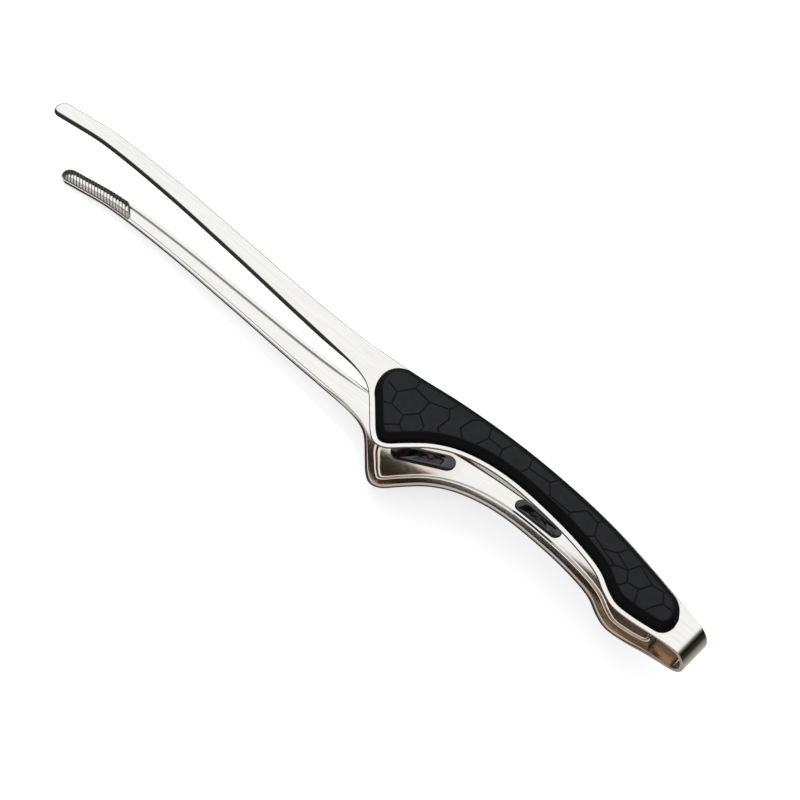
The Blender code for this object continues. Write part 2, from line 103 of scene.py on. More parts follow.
# Width of the strip: share of LENGTH, the width it follows, share of that width
WIDTH_SHARES = [
    (0.000, TIP_WIDTH, 0.99), (0.100, TIP_WIDTH, 1.02), (0.300, TIP_WIDTH, 1.20),
    (0.440, NECK_WIDTH, 0.98), (0.490, NECK_WIDTH, 1.11), (0.520, CORNER_WIDTH, 0.355),
    (0.540, CORNER_WIDTH, 0.415), (0.555, CORNER_WIDTH, 0.51), (0.579, CORNER_WIDTH, 0.76),
    (0.592, CORNER_WIDTH, 0.90), (0.603, CORNER_WIDTH, 0.985), (0.612, CORNER_WIDTH, 1.00),
    (0.621, CORNER_WIDTH, 0.965), (0.634, CORNER_WIDTH, 0.84), (0.652, CORNER_WIDTH, 0.68),
    (0.674, CORNER_WIDTH, 0.565), (0.703, WAIST_WIDTH, 1.075), (0.740, WAIST_WIDTH, 1.00),
    (0.790, WAIST_WIDTH, 1.02), (0.845, WAIST_WIDTH, 1.09), (0.873, HUMP_WIDTH, 0.84),
    (0.891, HUMP_WIDTH, 0.95), (0.908, HUMP_WIDTH, 1.00), (0.930, HUMP_WIDTH, 0.93),
    (0.960, TAIL_WIDTH, 1.26), (0.985, TAIL_WIDTH, 1.06), (1.000, TAIL_WIDTH, 1.00),
]

# Turned edges of the strip
NOSE_LENGTH = 0.0030
NOSE_DROP = 0.0006
NOSE_SQUARE_POWER = 0.97
NOSE_BULGE = 0.00028
NOSE_PROBE_ANGLE = 0.01
GUTTER_SPLAY = 0.0003
EDGE_ROUNDS = (0.00030, 0.00085)
EDGE_PROBE = 0.00005
HANDLE_LIP_SHARE = 0.25
LIP_END_LENGTH = 0.016
GUTTER_END_SHARE = 0.455
FLANGE_START_SHARE = 0.550
LIP_TURN = math.radians(72)
LIP_BULGE = 0.00015
INNER_ROUND = 0.0003
SQUARE_END_LENGTH = 0.008
LEAST_SQUEEZE_SHARE = 0.2

# How far the curves of a turned edge lean on their ends
WALL_PULL_SHARE = 0.62
ROUND_PULL_SHARE = 0.20
INNER_PULL_SHARE = 0.6
ROOT_PULL_SHARE = 0.22

# Rows of the bow left out beside each seam
SEAM_ROWS = 2

# Where the end caps of the grip and the pan leave the sides: share of LENGTH, near and far
GRIP_FRONT_SHARES = (0.5580, 0.5700)
GRIP_TAIL_SHARES = (0.9570, 0.9480)
PAN_FRONT_SHARES = (0.5740, 0.5750)
PAN_TAIL_SHARES = (0.9470, 0.9400)

# Caps: share of the width that one reaches ahead, and share of its front that each corner takes
PAN_CAP_SHARES = (0.18, 0.18)
GRIP_CAP_SHARES = (0.35, 0.50)
ARC_ARM_SHARE = 0.5523

# Rims round the pan, its wall, and the flat lands beside the grip
PAN_NEAR_RIM = 0.0027
PAN_FAR_RIM = 0.0021
PAN_WALL_RUN = 0.0016
PAN_WALL_LEAD = 0.0003
GRIP_NEAR_LAND = 0.00155
GRIP_FAR_LAND = 0.0008
SEAT_GAP = 0.0003

# Grip side: run in from its foot, share of its height, on the steep near side and the soft far side
NEAR_SIDE_RUNS = (0.00000, 0.00008, 0.00060, 0.00120, 0.00170, 0.00190, 0.00206, 0.00226, 0.00250)
NEAR_SIDE_SHARES = (0.00, 0.15, 0.38, 0.62, 0.82, 0.91, 0.96, 0.99, 1.00)
FAR_SIDE_RUNS = (0.00000, 0.00004, 0.00022, 0.00060, 0.00110, 0.00160, 0.00210, 0.00250, 0.00290)
FAR_SIDE_SHARES = (0.00, 0.15, 0.38, 0.60, 0.77, 0.88, 0.95, 0.985, 1.00)

# Where the soft far side takes over from the near one, as shares of the strip's width
SOFT_START_SHARE = 0.35
SOFT_SPAN_SHARE = 0.4
SOFT_BLUR_STEPS = 4

# A point moved off an outline stays if it is clear of the outline by this share of its move
LOOP_CLEAR_SHARE = 0.975
GRIP_CLEAR_SHARE = 0.93

# Most points in a knot, where a moved outline crosses itself
KNOT_REACH = 40

# Gate marks on the grip near its tail: along the arm and across it, and their lower and upper ends
GRIP_GATE_PLACES = ((0.2316, 0.0001), (0.2318, -0.0010))
GRIP_GATE_RADIUS = 0.00045
GRIP_GATE_LEVELS = (0.0002, 0.0016)

# Middles of the end circles of each key: share of LENGTH, share of BELLY
FRONT_KEY_SHARES = ((0.5995, -0.32), (0.6465, 0.23))
REAR_KEY_SHARES = ((0.7450, 0.54), (0.7930, 0.51))
FRONT_GATE_SHARES = (0.6290, 0.06)
REAR_GATE_SHARES = (0.7700, 0.50)
FRONT_KEY_RADIUS = 0.0026
REAR_KEY_RADIUS = 0.0019
FRONT_GATE_RADIUS = 0.0011
REAR_GATE_RADIUS = 0.0007
KEY_STAND = 0.0004
KEY_EDGE_ROUND = 0.0003
GATE_DEPTH = 0.00012
GATE_INNER_SHARE = 0.8

# Ridged pad inside each nose
JAW_LENGTH = 0.0255
JAW_DEPTH = 0.0020
JAW_BULGE = 0.0012
JAW_SIDE_WALL = 0.0001
JAW_ROOT_INSET = 0.0005
JAW_ROOT_SHARE = 0.6
JAW_FOOT_SHARE = 0.9
RIDGE_ANGLE = math.radians(41.5)
RIDGE_ALONG = np.array([math.cos(RIDGE_ANGLE), -math.sin(RIDGE_ANGLE)])
RIDGE_ACROSS = np.array([math.sin(RIDGE_ANGLE), math.cos(RIDGE_ANGLE)])
RIDGE_WIDTH_SHARE = 0.74
RIDGE_ROUND_SHARE = 0.12
RIDGE_INSET = 0.00012
RIDGE_SUNK = 0.0002
RIDGE_OVERRUN = 0.0003

# Mesh densities
GUTTER_STEP = 0.0015
CORNER_STEP = 0.00040
HANDLE_STEP = 0.00065
CORNER_STRETCH_SHARES = (0.530, 0.670)
NOSE_FAN_STEPS = 24
BOW_STEPS = 40
CROWN_STEPS = 20
WALL_STEPS = 8
CAP_STEPS = 7
LOOP_STEPS = 110
LOOP_CAP_STEPS = 14
GRIP_LOOP_STEPS = 340
GRIP_GATE_STEPS = 24
KEY_ARC_STEPS = 24
KEY_RIM_STEPS = 6
GATE_STEPS = 32
JAW_SIDE_STEPS = 40
JAW_END_STEPS = 16
RIDGE_ROUND_STEPS = 3
NET_BAR_SIDES = 12
NET_BALL_LEVEL = 2

# Clean-up of the meshes: lengths that count as nothing, and the least angle of a sharp edge
WELD_WITHIN = 5e-7
DISSOLVE_WITHIN = 1e-7
LEAST_RISE = 1e-12
FLAT_WITHIN = math.radians(1.5)
STRIP_SHARP, JAW_SHARP = math.radians(60), math.radians(14)
GRIP_SHARP, KEY_SHARP = math.radians(38), math.radians(35)

# Groove net on the grip's top: its bars, and its corners in millimetres, along the arm and across it
NET_RADIUS_SHARE = 0.56
NET_LIFT_SHARE = 0.15
NET_POINTS = {
    "a": (135.8, -1.6), "b": (139.4, -2.4), "c": (142.0, 2.0), "c_far": (140.8, 6.5),
    "d": (147.5, 1.5), "e": (148.1, -3.2), "f": (145.6, -6.6), "g": (141.1, -6.2),
    "g_near": (137.5, -8.5), "h": (152.5, 3.7), "h_far": (153.6, 8.5), "i": (154.5, 1.4),
    "j": (154.3, -2.8), "j_near": (157.5, -5.0), "k": (151.6, -5.2), "k_near": (152.8, -9.5),
    "l": (147.0, -9.5), "l_left": (142.5, -14.0), "l_near": (152.0, -12.0), "m": (158.3, 1.6),
    "m_near": (162.0, -1.6), "n": (158.8, 5.7), "n_far": (162.0, 9.5), "p_far": (163.2, 8.8),
    "p": (165.4, 4.7), "p_near": (164.4, 0.8), "q": (170.1, 4.8), "q_far": (171.6, 9.5),
    "q_near": (171.6, 1.2), "r": (178.5, 5.4), "r_far": (176.8, 9.8), "r_near": (177.4, 0.8),
    "s": (185.0, 6.3), "s_far": (187.2, 10.2), "t": (187.6, 3.2), "t_near": (186.2, 0.2),
    "u": (194.2, 3.2), "u_near": (195.6, 0.0), "u_far": (196.8, 6.8), "v": (201.0, 6.2),
    "v_far": (203.0, 9.6), "w": (203.0, 2.6), "w_near": (200.8, 0.0), "x": (206.6, 1.3),
    "y": (210.1, 3.1), "z": (211.2, 6.0), "z_far": (214.0, 8.8), "aa": (211.6, -0.2),
    "aa_near": (210.2, -3.0), "ab": (215.0, 1.2), "ac": (216.3, 4.6), "ac_far": (220.6, 6.8),
    "ad": (216.9, -1.6), "ad_near": (215.4, -5.0), "ae": (221.8, 2.3), "af": (220.2, -1.1),
    "af_near": (221.8, -5.0), "ag": (225.0, 2.9), "ag_far": (227.6, 5.2), "ah": (225.4, -2.6),
    "ai": (226.9, 0.2), "aj": (229.6, 0.4), "aj_far": (231.0, 3.0), "ah_near": (224.6, -5.2),
}
NET_LINES = (
    "a b c d e f g b", "c c_far", "g g_near", "d h h_far", "h i j j_near", "e k k_near",
    "f l l_left", "l l_near", "m m_near", "m n n_far", "p_far p p_near", "p q q_far",
    "q q_near", "r_far r r_near", "r s s_far", "s t t_near", "t u u_far v v_far", "u u_near",
    "v w x y z z_far", "w w_near", "aa_near aa x", "y ab ac ac_far", "aa ab ad ad_near",
    "ac ae ag ag_far", "ae af af_near", "ah_near ah ai ag", "ai aj aj_far", "ad af",
)

# Looks. The noises lie mostly in NOISE_RANGE. Scales are those of the fine and the cloudy grain.
NOISE_RANGE = (0.3, 0.7)
GRAIN_DETAILS = (("Fine", 3.0), ("Cloud", 2.0))
EVEN = (1.0, 1.0, 1.0)
STEEL_LOOK = {
    "stretch": (1.0, 22.0, 22.0), "scales": (420.0, 55.0), "dark_share": 0.93,
    "rough": (0.08, 0.16), "rough_by": "Fine", "bump": (0.05, 0.00002),
}
JAW_FLOOR_LOOK = {
    "stretch": EVEN, "scales": (6500.0, 600.0), "dark_share": 0.7,
    "rough": (0.38, 0.52), "rough_by": "Fine", "bump": (0.3, 0.00003),
}
KEY_LOOK = {
    "stretch": EVEN, "scales": (900.0, 160.0), "dark_share": 0.7,
    "rough": (0.10, 0.18), "rough_by": "Cloud", "bump": (0.04, 0.00005),
}
# The grip's dark_share gives both the painted shade on its sides and the dark end of its grain
GRIP_LOOK = {
    "stretch": EVEN, "scales": (5200.0, 380.0), "dark_share": 0.08, "cloud_shares": (0.75, 1.0),
    "rough": (0.60, 0.62), "specular": 0.10, "bump": (0.35, 0.00005),
}
# Share of the steel's colour left between the jaw's ridges, a painted shade in the grooves
JAW_FLOOR_SHADE_SHARE = 0.42

# The grip's sides turn into its top between these shares of its height; below the top the sides get a
# painted shade
GRIP_TOP_SHARES = (0.90, 0.99)

# Tint of a painted warm shade on the handles' inner faces between the arms, and (share of the length,
# strength) stops along it
INSIDE_SHADE_TINT = (0.88, 0.78, 0.69)
INSIDE_SHADE_FADE = 0.002
INSIDE_SHADE_SHARES = (
    (0.555, 0.0), (0.575, 1.0), (0.640, 0.9), (0.670, 0.0), (0.810, 0.0), (0.860, 0.7), (0.960, 1.0),
)

# Studio: the photograph's camera, and what stands around the object
WHITE = (1.0, 1.0, 1.0, 1.0)
CAMERA_PLACE = (0.18738, -0.21777, 0.37654)
CAMERA_TURN = (37.706, -4.554, 43.216)
CAMERA_LENS = 77.083
SENSOR_WIDTH = 36.0
CLIP_START = 0.01
SOFTBOX_PLACE = (-0.42, 0.46, 0.82)
SOFTBOX_SIZE = (0.95, 0.80)
SOFTBOX_POWER = 3.5
SOFTBOX_COLOUR = (0.94, 1.0, 1.08)
WORLD_LIGHT = 0.45
FLOOR = ((-3.0, 3.0), (-3.0, 3.0), -0.0004)
FLOOR_ROUGHNESS = 0.9
FLOOR_GLOW = 0.70
TENT_RADIUS = 2.5
TENT_SEGMENTS, TENT_RINGS = 48, 24
TENT_SKIRT = 0.05

# What the steel reflects: share of the way along each card or up the tent, and colour
UNDER_CARD_STOPS = (
    (0.305, (0.050, 0.046, 0.040)), (0.3155, (0.60, 0.58, 0.56)), (0.326, (0.30, 0.285, 0.27)),
    (0.340, (0.20, 0.19, 0.175)), (0.405, (0.11, 0.10, 0.09)), (0.52, (0.05, 0.046, 0.04)),
)
SKY_CARD_STOPS = (
    (0.555, (1.38, 1.47, 1.56)), (0.583, (1.35, 1.43, 1.50)), (0.604, (1.28, 1.34, 1.39)),
    (0.627, (0.75, 0.79, 0.81)), (0.653, (0.32, 0.33, 0.33)), (0.686, (0.13, 0.12, 0.11)),
    (0.727, (0.036, 0.028, 0.022)), (0.790, (0.010, 0.005, 0.003)), (0.986, (0.016, 0.008, 0.005)),
)
TENT_STOPS = (
    (0.00, (0.110, 0.100, 0.090)), (0.10, (0.055, 0.045, 0.036)), (0.20, (0.022, 0.014, 0.010)),
    (0.30, (0.080, 0.066, 0.054)), (0.45, (0.45, 0.445, 0.44)), (0.60, (0.75, 0.75, 0.75)),
)
CARDS = (
    ("under_card", ((-1.2, 3.0), (-0.6, 2.0), -0.0002), UNDER_CARD_STOPS),
    ("sky_card", ((-1.2, 1.3), (0.0, 1.6), 0.45), SKY_CARD_STOPS),
)


def length_setting(name, default, description):
    return bpy.props.FloatProperty(
        name=name, description=description, default=default, unit="LENGTH"
    )


def colour_setting(name, default, description):
    return bpy.props.FloatVectorProperty(
        name=name, description=description, default=default, subtype="COLOR"
    )


class TongsSizes(bpy.types.PropertyGroup):
    sheet: length_setting("Sheet", 0.0011, "Thickness of the steel strip")
    gutter_depth: length_setting("Gutter depth", 0.0016, "How far the gutter's edges are turned down")
    pan_depth: length_setting("Pan depth", 0.0010, "Depth of the pressed pan in each handle")
    grip_height: length_setting("Grip height", 0.0021, "Height of the moulded grips over the handles")
    groove_width: length_setting("Groove width", 0.00042, "Width of the groove net in the grips")
    ridge_pitch: length_setting("Ridge pitch", 0.00091, "Distance between the ridges of the jaw pads")
    ridge_height: length_setting("Ridge height", 0.00035, "Height of the ridges of the jaw pads")


class TongsColours(bpy.types.PropertyGroup):
    steel: colour_setting("Steel", (0.66, 0.615, 0.565), "Colour of the polished steel")
    grip: colour_setting("Grip", (0.022, 0.0215, 0.0225), "Colour of the moulded grips")
    key: colour_setting("Key", (0.006, 0.006, 0.0065), "Colour of the moulded keys")
    floor: colour_setting("Floor", (0.86, 0.86, 0.86), "Colour of the studio floor")


def sizes():
    return bpy.context.scene.tongs_sizes


def colours():
    return bpy.context.scene.tongs_colours


def smooth_step(t):
    t = np.clip(t, 0, 1)
    return t * t * (3 - 2 * t)


def handle_line():
    """The bow's radius and middle, and the slope of the handle that runs tangent to it."""
    radius = BOW_HEIGHT / 2
    middle = LENGTH - radius
    rise = HANDLE_FRONT_SPREAD / 2
    run = middle - HANDLE_FRONT_SHARE * LENGTH
    slope = math.acos(radius / math.hypot(rise, run)) - math.atan2(run, rise)
    return radius, middle, slope


BOW_RADIUS, BOW_MIDDLE, HANDLE_SLOPE = handle_line()
BOW_START = BOW_MIDDLE + BOW_RADIUS * math.sin(HANDLE_SLOPE)


def handle_height(x):
    """Height of the handle's straight outer face over the middle plane."""
    return BOW_RADIUS / math.cos(HANDLE_SLOPE) + math.tan(HANDLE_SLOPE) * (BOW_MIDDLE - x)


def outer_height(x):
    """Height of the outer face over the middle plane: straight on the handle, flaring at the tip."""
    front = HANDLE_FRONT_SHARE * LENGTH
    t = x / front
    pull = -math.tan(HANDLE_SLOPE) * front
    eased = TIP_SPREAD / 2 * (2 * t**3 - 3 * t**2 + 1)
    eased = eased + handle_height(front) * (3 * t**2 - 2 * t**3) + pull * (t**3 - t**2)
    eased = eased - TIP_FLARE * front * (t**3 - 2 * t**2 + t)
    return np.where(x >= front, handle_height(x), eased)


def smooth_values(points, x):
    """Cubic through the points, with the slope at each one taken from its neighbours."""
    px, py = np.array(points).T
    before, after = np.r_[0, : len(px) - 1], np.r_[1 : len(px), len(px) - 1]
    slopes = (py[after] - py[before]) / (px[after] - px[before])
    i = np.clip(np.searchsorted(px, x, side="right") - 1, 0, len(px) - 2)
    span = px[i + 1] - px[i]
    t = np.clip((x - px[i]) / span, 0, 1)
    ease = smooth_step(t)
    values = py[i] * (1 - ease) + py[i + 1] * ease
    return values + slopes[i] * span * t * (1 - t) ** 2 - slopes[i + 1] * span * t * t * (1 - t)


FAR_POINTS = [(x * LENGTH, y * BELLY) for x, y in FAR_EDGE_SHARES]
WIDTH_POINTS = [(x * LENGTH, width * share) for x, width, share in WIDTH_SHARES]


def plan_edges(x):
    """Near and far edge of the strip at every x, without the nose's round end."""
    far = smooth_values(FAR_POINTS, x)
    return far - smooth_values(WIDTH_POINTS, x), far


def plan_middle(x):
    """The plan point midway between the edges at one x, and half the width there."""
    near, far = (float(edge[0]) for edge in plan_edges(np.array([x])))
    return np.array([x, (near + far) / 2]), (far - near) / 2


def turned_share(x):
    """How far the edges are turned: fully on the gutter, slightly on the handle, not at the bow."""
    gone = x / LENGTH - GUTTER_END_SHARE
    fade = smooth_step(gone / (FLANGE_START_SHARE - GUTTER_END_SHARE))
    share = 1 + (HANDLE_LIP_SHARE - 1) * fade
    return share * smooth_step((BOW_START - x) / LIP_END_LENGTH)


def place(plan, w, side):
    """World points for plan points at w over the outer face of the upper (1) or lower (-1) arm."""
    x, y = plan[..., 0], plan[..., 1]
    z = MIDDLE_Z + side * (outer_height(x) + w)
    return np.stack([x - LENGTH / 2, y - PLAN_MIDDLE_Y, z], axis=-1)


def bezier(points, t):
    """Points of a cubic curve. Each control point and t may be an array that broadcasts."""
    a, b, c, d = points
    return a * (1 - t) ** 3 + 3 * b * t * (1 - t) ** 2 + 3 * c * t * t * (1 - t) + d * t**3


def left_of(ways):
    """Unit plan vectors to the left of each way."""
    normals = np.stack([-ways[:, 1], ways[:, 0]], axis=-1)
    return normals / np.linalg.norm(normals, axis=1)[:, None]


def edge_line(edge, x):
    """Plan points along one edge (0 near, 1 far) and their unit normals into the strip."""
    at = np.stack([x, plan_edges(x)[edge]], axis=-1)
    rise = plan_edges(x + EDGE_PROBE)[edge] - plan_edges(x - EDGE_PROBE)[edge]
    turn = 1 if edge == 0 else -1
    normal = turn * left_of(np.stack([np.full_like(x, 2 * EDGE_PROBE), rise], axis=-1))
    squared = smooth_step((BOW_START - x) / SQUARE_END_LENGTH)[:, None]
    straight = np.tile((0.0, turn), (len(x), 1))
    normal = squared * normal + (1 - squared) * straight
    return at, normal / np.linalg.norm(normal, axis=1)[:, None]


def signed_inset(points, loop):
    """How far inside a closed plan outline each point lies, negative outside it."""
    start, end = loop, np.roll(loop, -1, axis=0)
    way = end - start
    reach = points[:, None] - start[None]
    t = np.clip((reach * way).sum(-1) / (way**2).sum(-1), 0, 1)
    gap = np.sqrt(((reach - t[..., None] * way) ** 2).sum(-1)).min(axis=1)
    above = (start[:, 1] > points[:, None, 1]) != (end[:, 1] > points[:, None, 1])
    rise = np.where(np.abs(way[:, 1]) < LEAST_RISE, LEAST_RISE, way[:, 1])
    cross = start[:, 0] + way[:, 0] * (points[:, None, 1] - start[:, 1]) / rise
    inside = (above & (points[:, None, 0] < cross)).sum(axis=1) % 2 == 1
    return np.where(inside, gap, -gap)


def cap(start, start_way, end, end_way, shares):
    """A blunt end with two round corners. The ways are the directions of travel at its ends."""
    reach_share, round_share = shares
    reach = reach_share * np.linalg.norm(end - start)
    first, last = start + reach * start_way, end - reach * end_way
    inner = first + round_share * (last - first), last + round_share * (first - last)
    t = np.linspace(0, 1, LOOP_CAP_STEPS)[:, None]
    lines = []
    for before, corner, after in ((start, first, inner[0]), (inner[1], last, end)):
        arms = (point + ARC_ARM_SHARE * (corner - point) for point in (before, after))
        lines.append(bezier((before, *arms, after), t))
    return np.concatenate(lines)[1:-1]


def unit(way):
    return way / np.linalg.norm(way)


def even_loop(loop, count):
    """A closed loop laid out again with evenly spaced points."""
    line = np.concatenate([loop, loop[:1]])
    length = np.r_[0, np.cumsum(np.linalg.norm(np.diff(line, axis=0), axis=1))]
    at = np.linspace(0, length[-1], count + 1)[:-1]
    return np.stack([np.interp(at, length, line[:, 0]), np.interp(at, length, line[:, 1])], -1)


def handle_loop(near_inset, far_inset, front_shares, tail_shares, cap_shares):
    """Closed outline inside the flange, anticlockwise: along the near edge, round the tail and back."""
    (near_front, far_front), (near_tail, far_tail) = front_shares, tail_shares
    at, normal = edge_line(0, np.linspace(near_front, near_tail, LOOP_STEPS) * LENGTH)
    near = at + near_inset * normal
    gap = np.linalg.norm(near[:, None] - at[None], axis=-1).min(axis=1)
    near = near[gap > LOOP_CLEAR_SHARE * near_inset]
    at, normal = edge_line(1, np.linspace(far_tail, far_front, LOOP_STEPS) * LENGTH)
    far = at + far_inset * normal
    tail = cap(near[-1], unit(near[-1] - near[-2]), far[0], unit(far[1] - far[0]), cap_shares)
    front = cap(far[-1], unit(far[-1] - far[-2]), near[0], unit(near[1] - near[0]), cap_shares)
    return np.concatenate([near, tail, far, front])


def pan_rise(points):
    """How far the pan lifts the sheet at each plan point."""
    loop = handle_loop(PAN_NEAR_RIM, PAN_FAR_RIM, PAN_FRONT_SHARES, PAN_TAIL_SHARES, PAN_CAP_SHARES)
    x = points[:, 0]
    by_pan = (x > loop[:, 0].min() - PAN_WALL_RUN) & (x < loop[:, 0].max() + PAN_WALL_RUN)
    rise = np.zeros(len(points))
    inset = signed_inset(points[by_pan], loop)
    rise[by_pan] = smooth_step((inset + PAN_WALL_LEAD) / PAN_WALL_RUN)
    return sizes().pan_depth * rise


def section(turned, edge_round):
    """Cross-sections from the spine out round the lip and back, one row for each turned share.

    The result is the share of the way to the spine, the run and the height w of each point."""
    sheet, deep = sizes().sheet, sizes().gutter_depth
    turned = turned[:, None]
    angle = LIP_TURN * np.sqrt(turned)
    way = np.concatenate([np.cos(angle), np.sin(angle)], axis=1)
    lip = np.concatenate([-GUTTER_SPLAY * turned, -deep * turned], axis=1) + LIP_BULGE * way
    rim_turn = math.pi / 2 * np.sqrt(turned)
    inner_lip = lip + sheet * np.concatenate([np.sin(rim_turn), -np.cos(rim_turn)], axis=1)
    root = np.stack([edge_round, np.zeros_like(edge_round)], axis=-1)
    inner_root = np.tile((sheet + INNER_ROUND, -sheet), (len(turned), 1))
    pull = WALL_PULL_SHARE * deep * turned + ROUND_PULL_SHARE * edge_round[:, None]
    inner_pull = INNER_PULL_SHARE * np.clip(-inner_lip[:, 1:] - sheet, 0, None)
    inner_line = inner_lip, inner_lip + inner_pull * way, inner_root - (INNER_ROUND, 0), inner_root
    out = np.linspace(0, 1, WALL_STEPS + 1)
    outer = [bezier((root, root * (ROOT_PULL_SHARE, 1), lip + pull * way, lip), t) for t in out]
    inner = [bezier(inner_line, t) for t in out]
    round_cap = []
    for turn in np.linspace(0, math.pi, CAP_STEPS + 2)[1:-1]:
        across = (1 - math.cos(turn)) / 2
        round_cap.append(lip + (inner_lip - lip) * across - LIP_BULGE * math.sin(turn) * way)
    walls = np.stack(outer + round_cap + inner, axis=1)
    crown = np.linspace(1, 0, CROWN_STEPS + 1)[:-1]
    shares = np.r_[crown, np.zeros(walls.shape[1]), crown[::-1]]
    out_crown, in_crown = (
        np.repeat(end[:, None], CROWN_STEPS, axis=1) for end in (root, inner_root)
    )
    profile = np.concatenate([out_crown, walls, in_crown], axis=1)
    return shares, profile[..., 0], profile[..., 1]


def strip_rows(edge_points, normals, spine, edge_round, turned):
    """Plan position and height of every mesh point, for rows that run from the spine over an edge."""
    half = np.linalg.norm(edge_points - spine, axis=1)
    shares, run, w = section(turned, edge_round)
    squeeze = np.clip(half / (TIP_WIDTH / 2), LEAST_SQUEEZE_SHARE, 1)[:, None]
    plan = edge_points[:, None] + (run * squeeze)[..., None] * normals[:, None]
    return plan + shares[None, :, None] * (spine[:, None] - plan), w


def side_rows(edge, x):
    """Rows on one side of an arm at every x."""
    at, normal = edge_line(edge, x)
    near, far = plan_edges(x)
    spine = np.stack([x, (near + far) / 2], axis=-1)
    return strip_rows(at, normal, spine, np.full_like(x, EDGE_ROUNDS[edge]), turned_share(x))


def nose_fan(reach, kept, angle):
    """Plan points round the blunt nose: its reach ahead of its base, and the share of its width kept."""
    base, half = plan_middle(NOSE_LENGTH)
    ahead = np.abs(np.cos(angle)) ** NOSE_SQUARE_POWER
    across = np.sign(np.sin(angle)) * np.abs(np.sin(angle)) ** NOSE_SQUARE_POWER
    return base + np.stack([-reach * ahead, kept * half * across], axis=-1)


NOSE_ANGLES = np.linspace(math.pi / 2, -math.pi / 2, NOSE_FAN_STEPS + 1)[1:-1]


def nose_rows():
    """Rows fanned round the nose, from the far side to the near one."""
    at, after, before = (
        nose_fan(NOSE_LENGTH - NOSE_BULGE, 1, NOSE_ANGLES + turn)
        for turn in (0, -NOSE_PROBE_ANGLE, NOSE_PROBE_ANGLE)
    )
    spine = np.tile(plan_middle(NOSE_LENGTH)[0], (len(at), 1))
    near_round, far_round = EDGE_ROUNDS
    edge_round = near_round + (far_round - near_round) * (NOSE_ANGLES / math.pi + 1 / 2)
    return strip_rows(at, left_of(after - before), spine, edge_round, turned_share(at[:, 0]))


def row_places():
    """Places of the rows along an arm, from the bow to the nose."""
    start, end = (share * LENGTH for share in CORNER_STRETCH_SHARES)
    places = [np.array([BOW_START])]
    for first, last, step in (
        (BOW_START, end, HANDLE_STEP), (end, start, CORNER_STEP), (start, NOSE_LENGTH, GUTTER_STEP)
    ):
        places.append(np.linspace(first, last, math.ceil((first - last) / step) + 1)[1:])
    return np.concatenate(places)


def arm_points(plan, w, side):
    """World points of arm rows, with the pan pressed in and the nose drawn down."""
    flat = plan.reshape(-1, 2)
    levels = w.reshape(-1) + pan_rise(flat)
    nose = np.clip(1 - flat[:, 0] / NOSE_LENGTH, 0, 1) ** 2
    levels = levels - NOSE_DROP * nose * np.clip(1 + levels / sizes().gutter_depth, 0, 1)
    return place(flat, levels, side).reshape(plan.shape[:2] + (3,))


def bow_points(edge, angles):
    """World points of the bow's rows on one side, from the lower arm's seam to the upper one's."""
    x = BOW_MIDDLE + BOW_RADIUS * np.cos(angles)
    near, far = plan_edges(x)
    at, spine = (np.stack([x, y], axis=-1) for y in ((near, far)[edge], (near + far) / 2))
    normal = np.tile((0.0, 1 if edge == 0 else -1), (len(x), 1))
    flat = np.zeros(len(x))
    plan, w = strip_rows(at, normal, spine, flat + EDGE_ROUNDS[edge], flat)
    radius, turned = BOW_RADIUS + w, angles[:, None]
    return np.stack([
        BOW_MIDDLE + radius * np.cos(turned) - LENGTH / 2,
        plan[..., 1] - PLAN_MIDDLE_Y,
        MIDDLE_Z + radius * np.sin(turned),
    ], axis=-1)


# Meshes

def new_object(name, data):
    """A new object in the scene that holds the data."""
    made = bpy.data.objects.new(name, data)
    bpy.context.scene.collection.objects.link(made)
    return made


def mesh_object(name, points, faces):
    """A smooth closed mesh object from points and faces, with doubles merged and normals outwards."""
    bm = bmesh.new()
    verts = [bm.verts.new(point) for point in points]
    for face in faces:
        bm.faces.new([verts[k] for k in face])
    bmesh.ops.remove_doubles(bm, verts=bm.verts, dist=WELD_WITHIN)
    bmesh.ops.dissolve_degenerate(bm, edges=bm.edges, dist=DISSOLVE_WITHIN)
    bmesh.ops.recalc_face_normals(bm, faces=bm.faces)
    for face in bm.faces:
        face.smooth = True
    mesh = bpy.data.meshes.new(name)
    bm.to_mesh(mesh)
    bm.free()
    return new_object(name, mesh)


def grid_faces(rows, columns, close_rows=False, close_columns=False):
    """Quads of a grid of points stored row by row."""
    faces = []
    for r in range(rows if close_rows else rows - 1):
        for c in range(columns if close_columns else columns - 1):
            a, b = r * columns + c, r * columns + (c + 1) % columns
            s = (r + 1) % rows
            faces.append((a, b, s * columns + (c + 1) % columns, s * columns + c))
    return faces


def ring_loft(name, rings):
    """A closed solid through rings of world points, with an n-gon at each end."""
    count = len(rings[0])
    faces = grid_faces(len(rings), count, close_columns=True)
    faces.append(list(range(count)))
    faces.append([(len(rings) - 1) * count + k for k in range(count)])
    return mesh_object(name, np.concatenate(rings), faces)


def circle(middle, radius, steps):
    """Plan points of a circle."""
    turn = np.linspace(0, 2 * math.pi, steps, endpoint=False)
    return middle + radius * np.stack([np.cos(turn), np.sin(turn)], axis=-1)


def own_edges_sharp(piece, angle):
    """Smooth shading that keeps edges sharper than the angle."""
    with bpy.context.temp_override(object=piece, selected_objects=[piece], active_object=piece):
        bpy.ops.object.shade_smooth_by_angle(angle=angle)


def flat_faces(piece, way):
    """Flat shading on every face that looks along the given way."""
    way = Vector(way).normalized()
    for face in piece.data.polygons:
        if face.normal.dot(way) > math.cos(FLAT_WITHIN):
            face.use_smooth = False


def finish_piece(piece, body, material=None):
    """Gives the piece its material, unless it has its own, and lets it ride on its body."""
    if material:
        piece.data.materials.clear()
        piece.data.materials.append(material)
    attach(piece, body)


def apply_modifiers(piece):
    graph = bpy.context.evaluated_depsgraph_get()
    mesh = bpy.data.meshes.new_from_object(piece.evaluated_get(graph), depsgraph=graph)
    piece.modifiers.clear()
    old = piece.data
    piece.data = mesh
    bpy.data.meshes.remove(old)


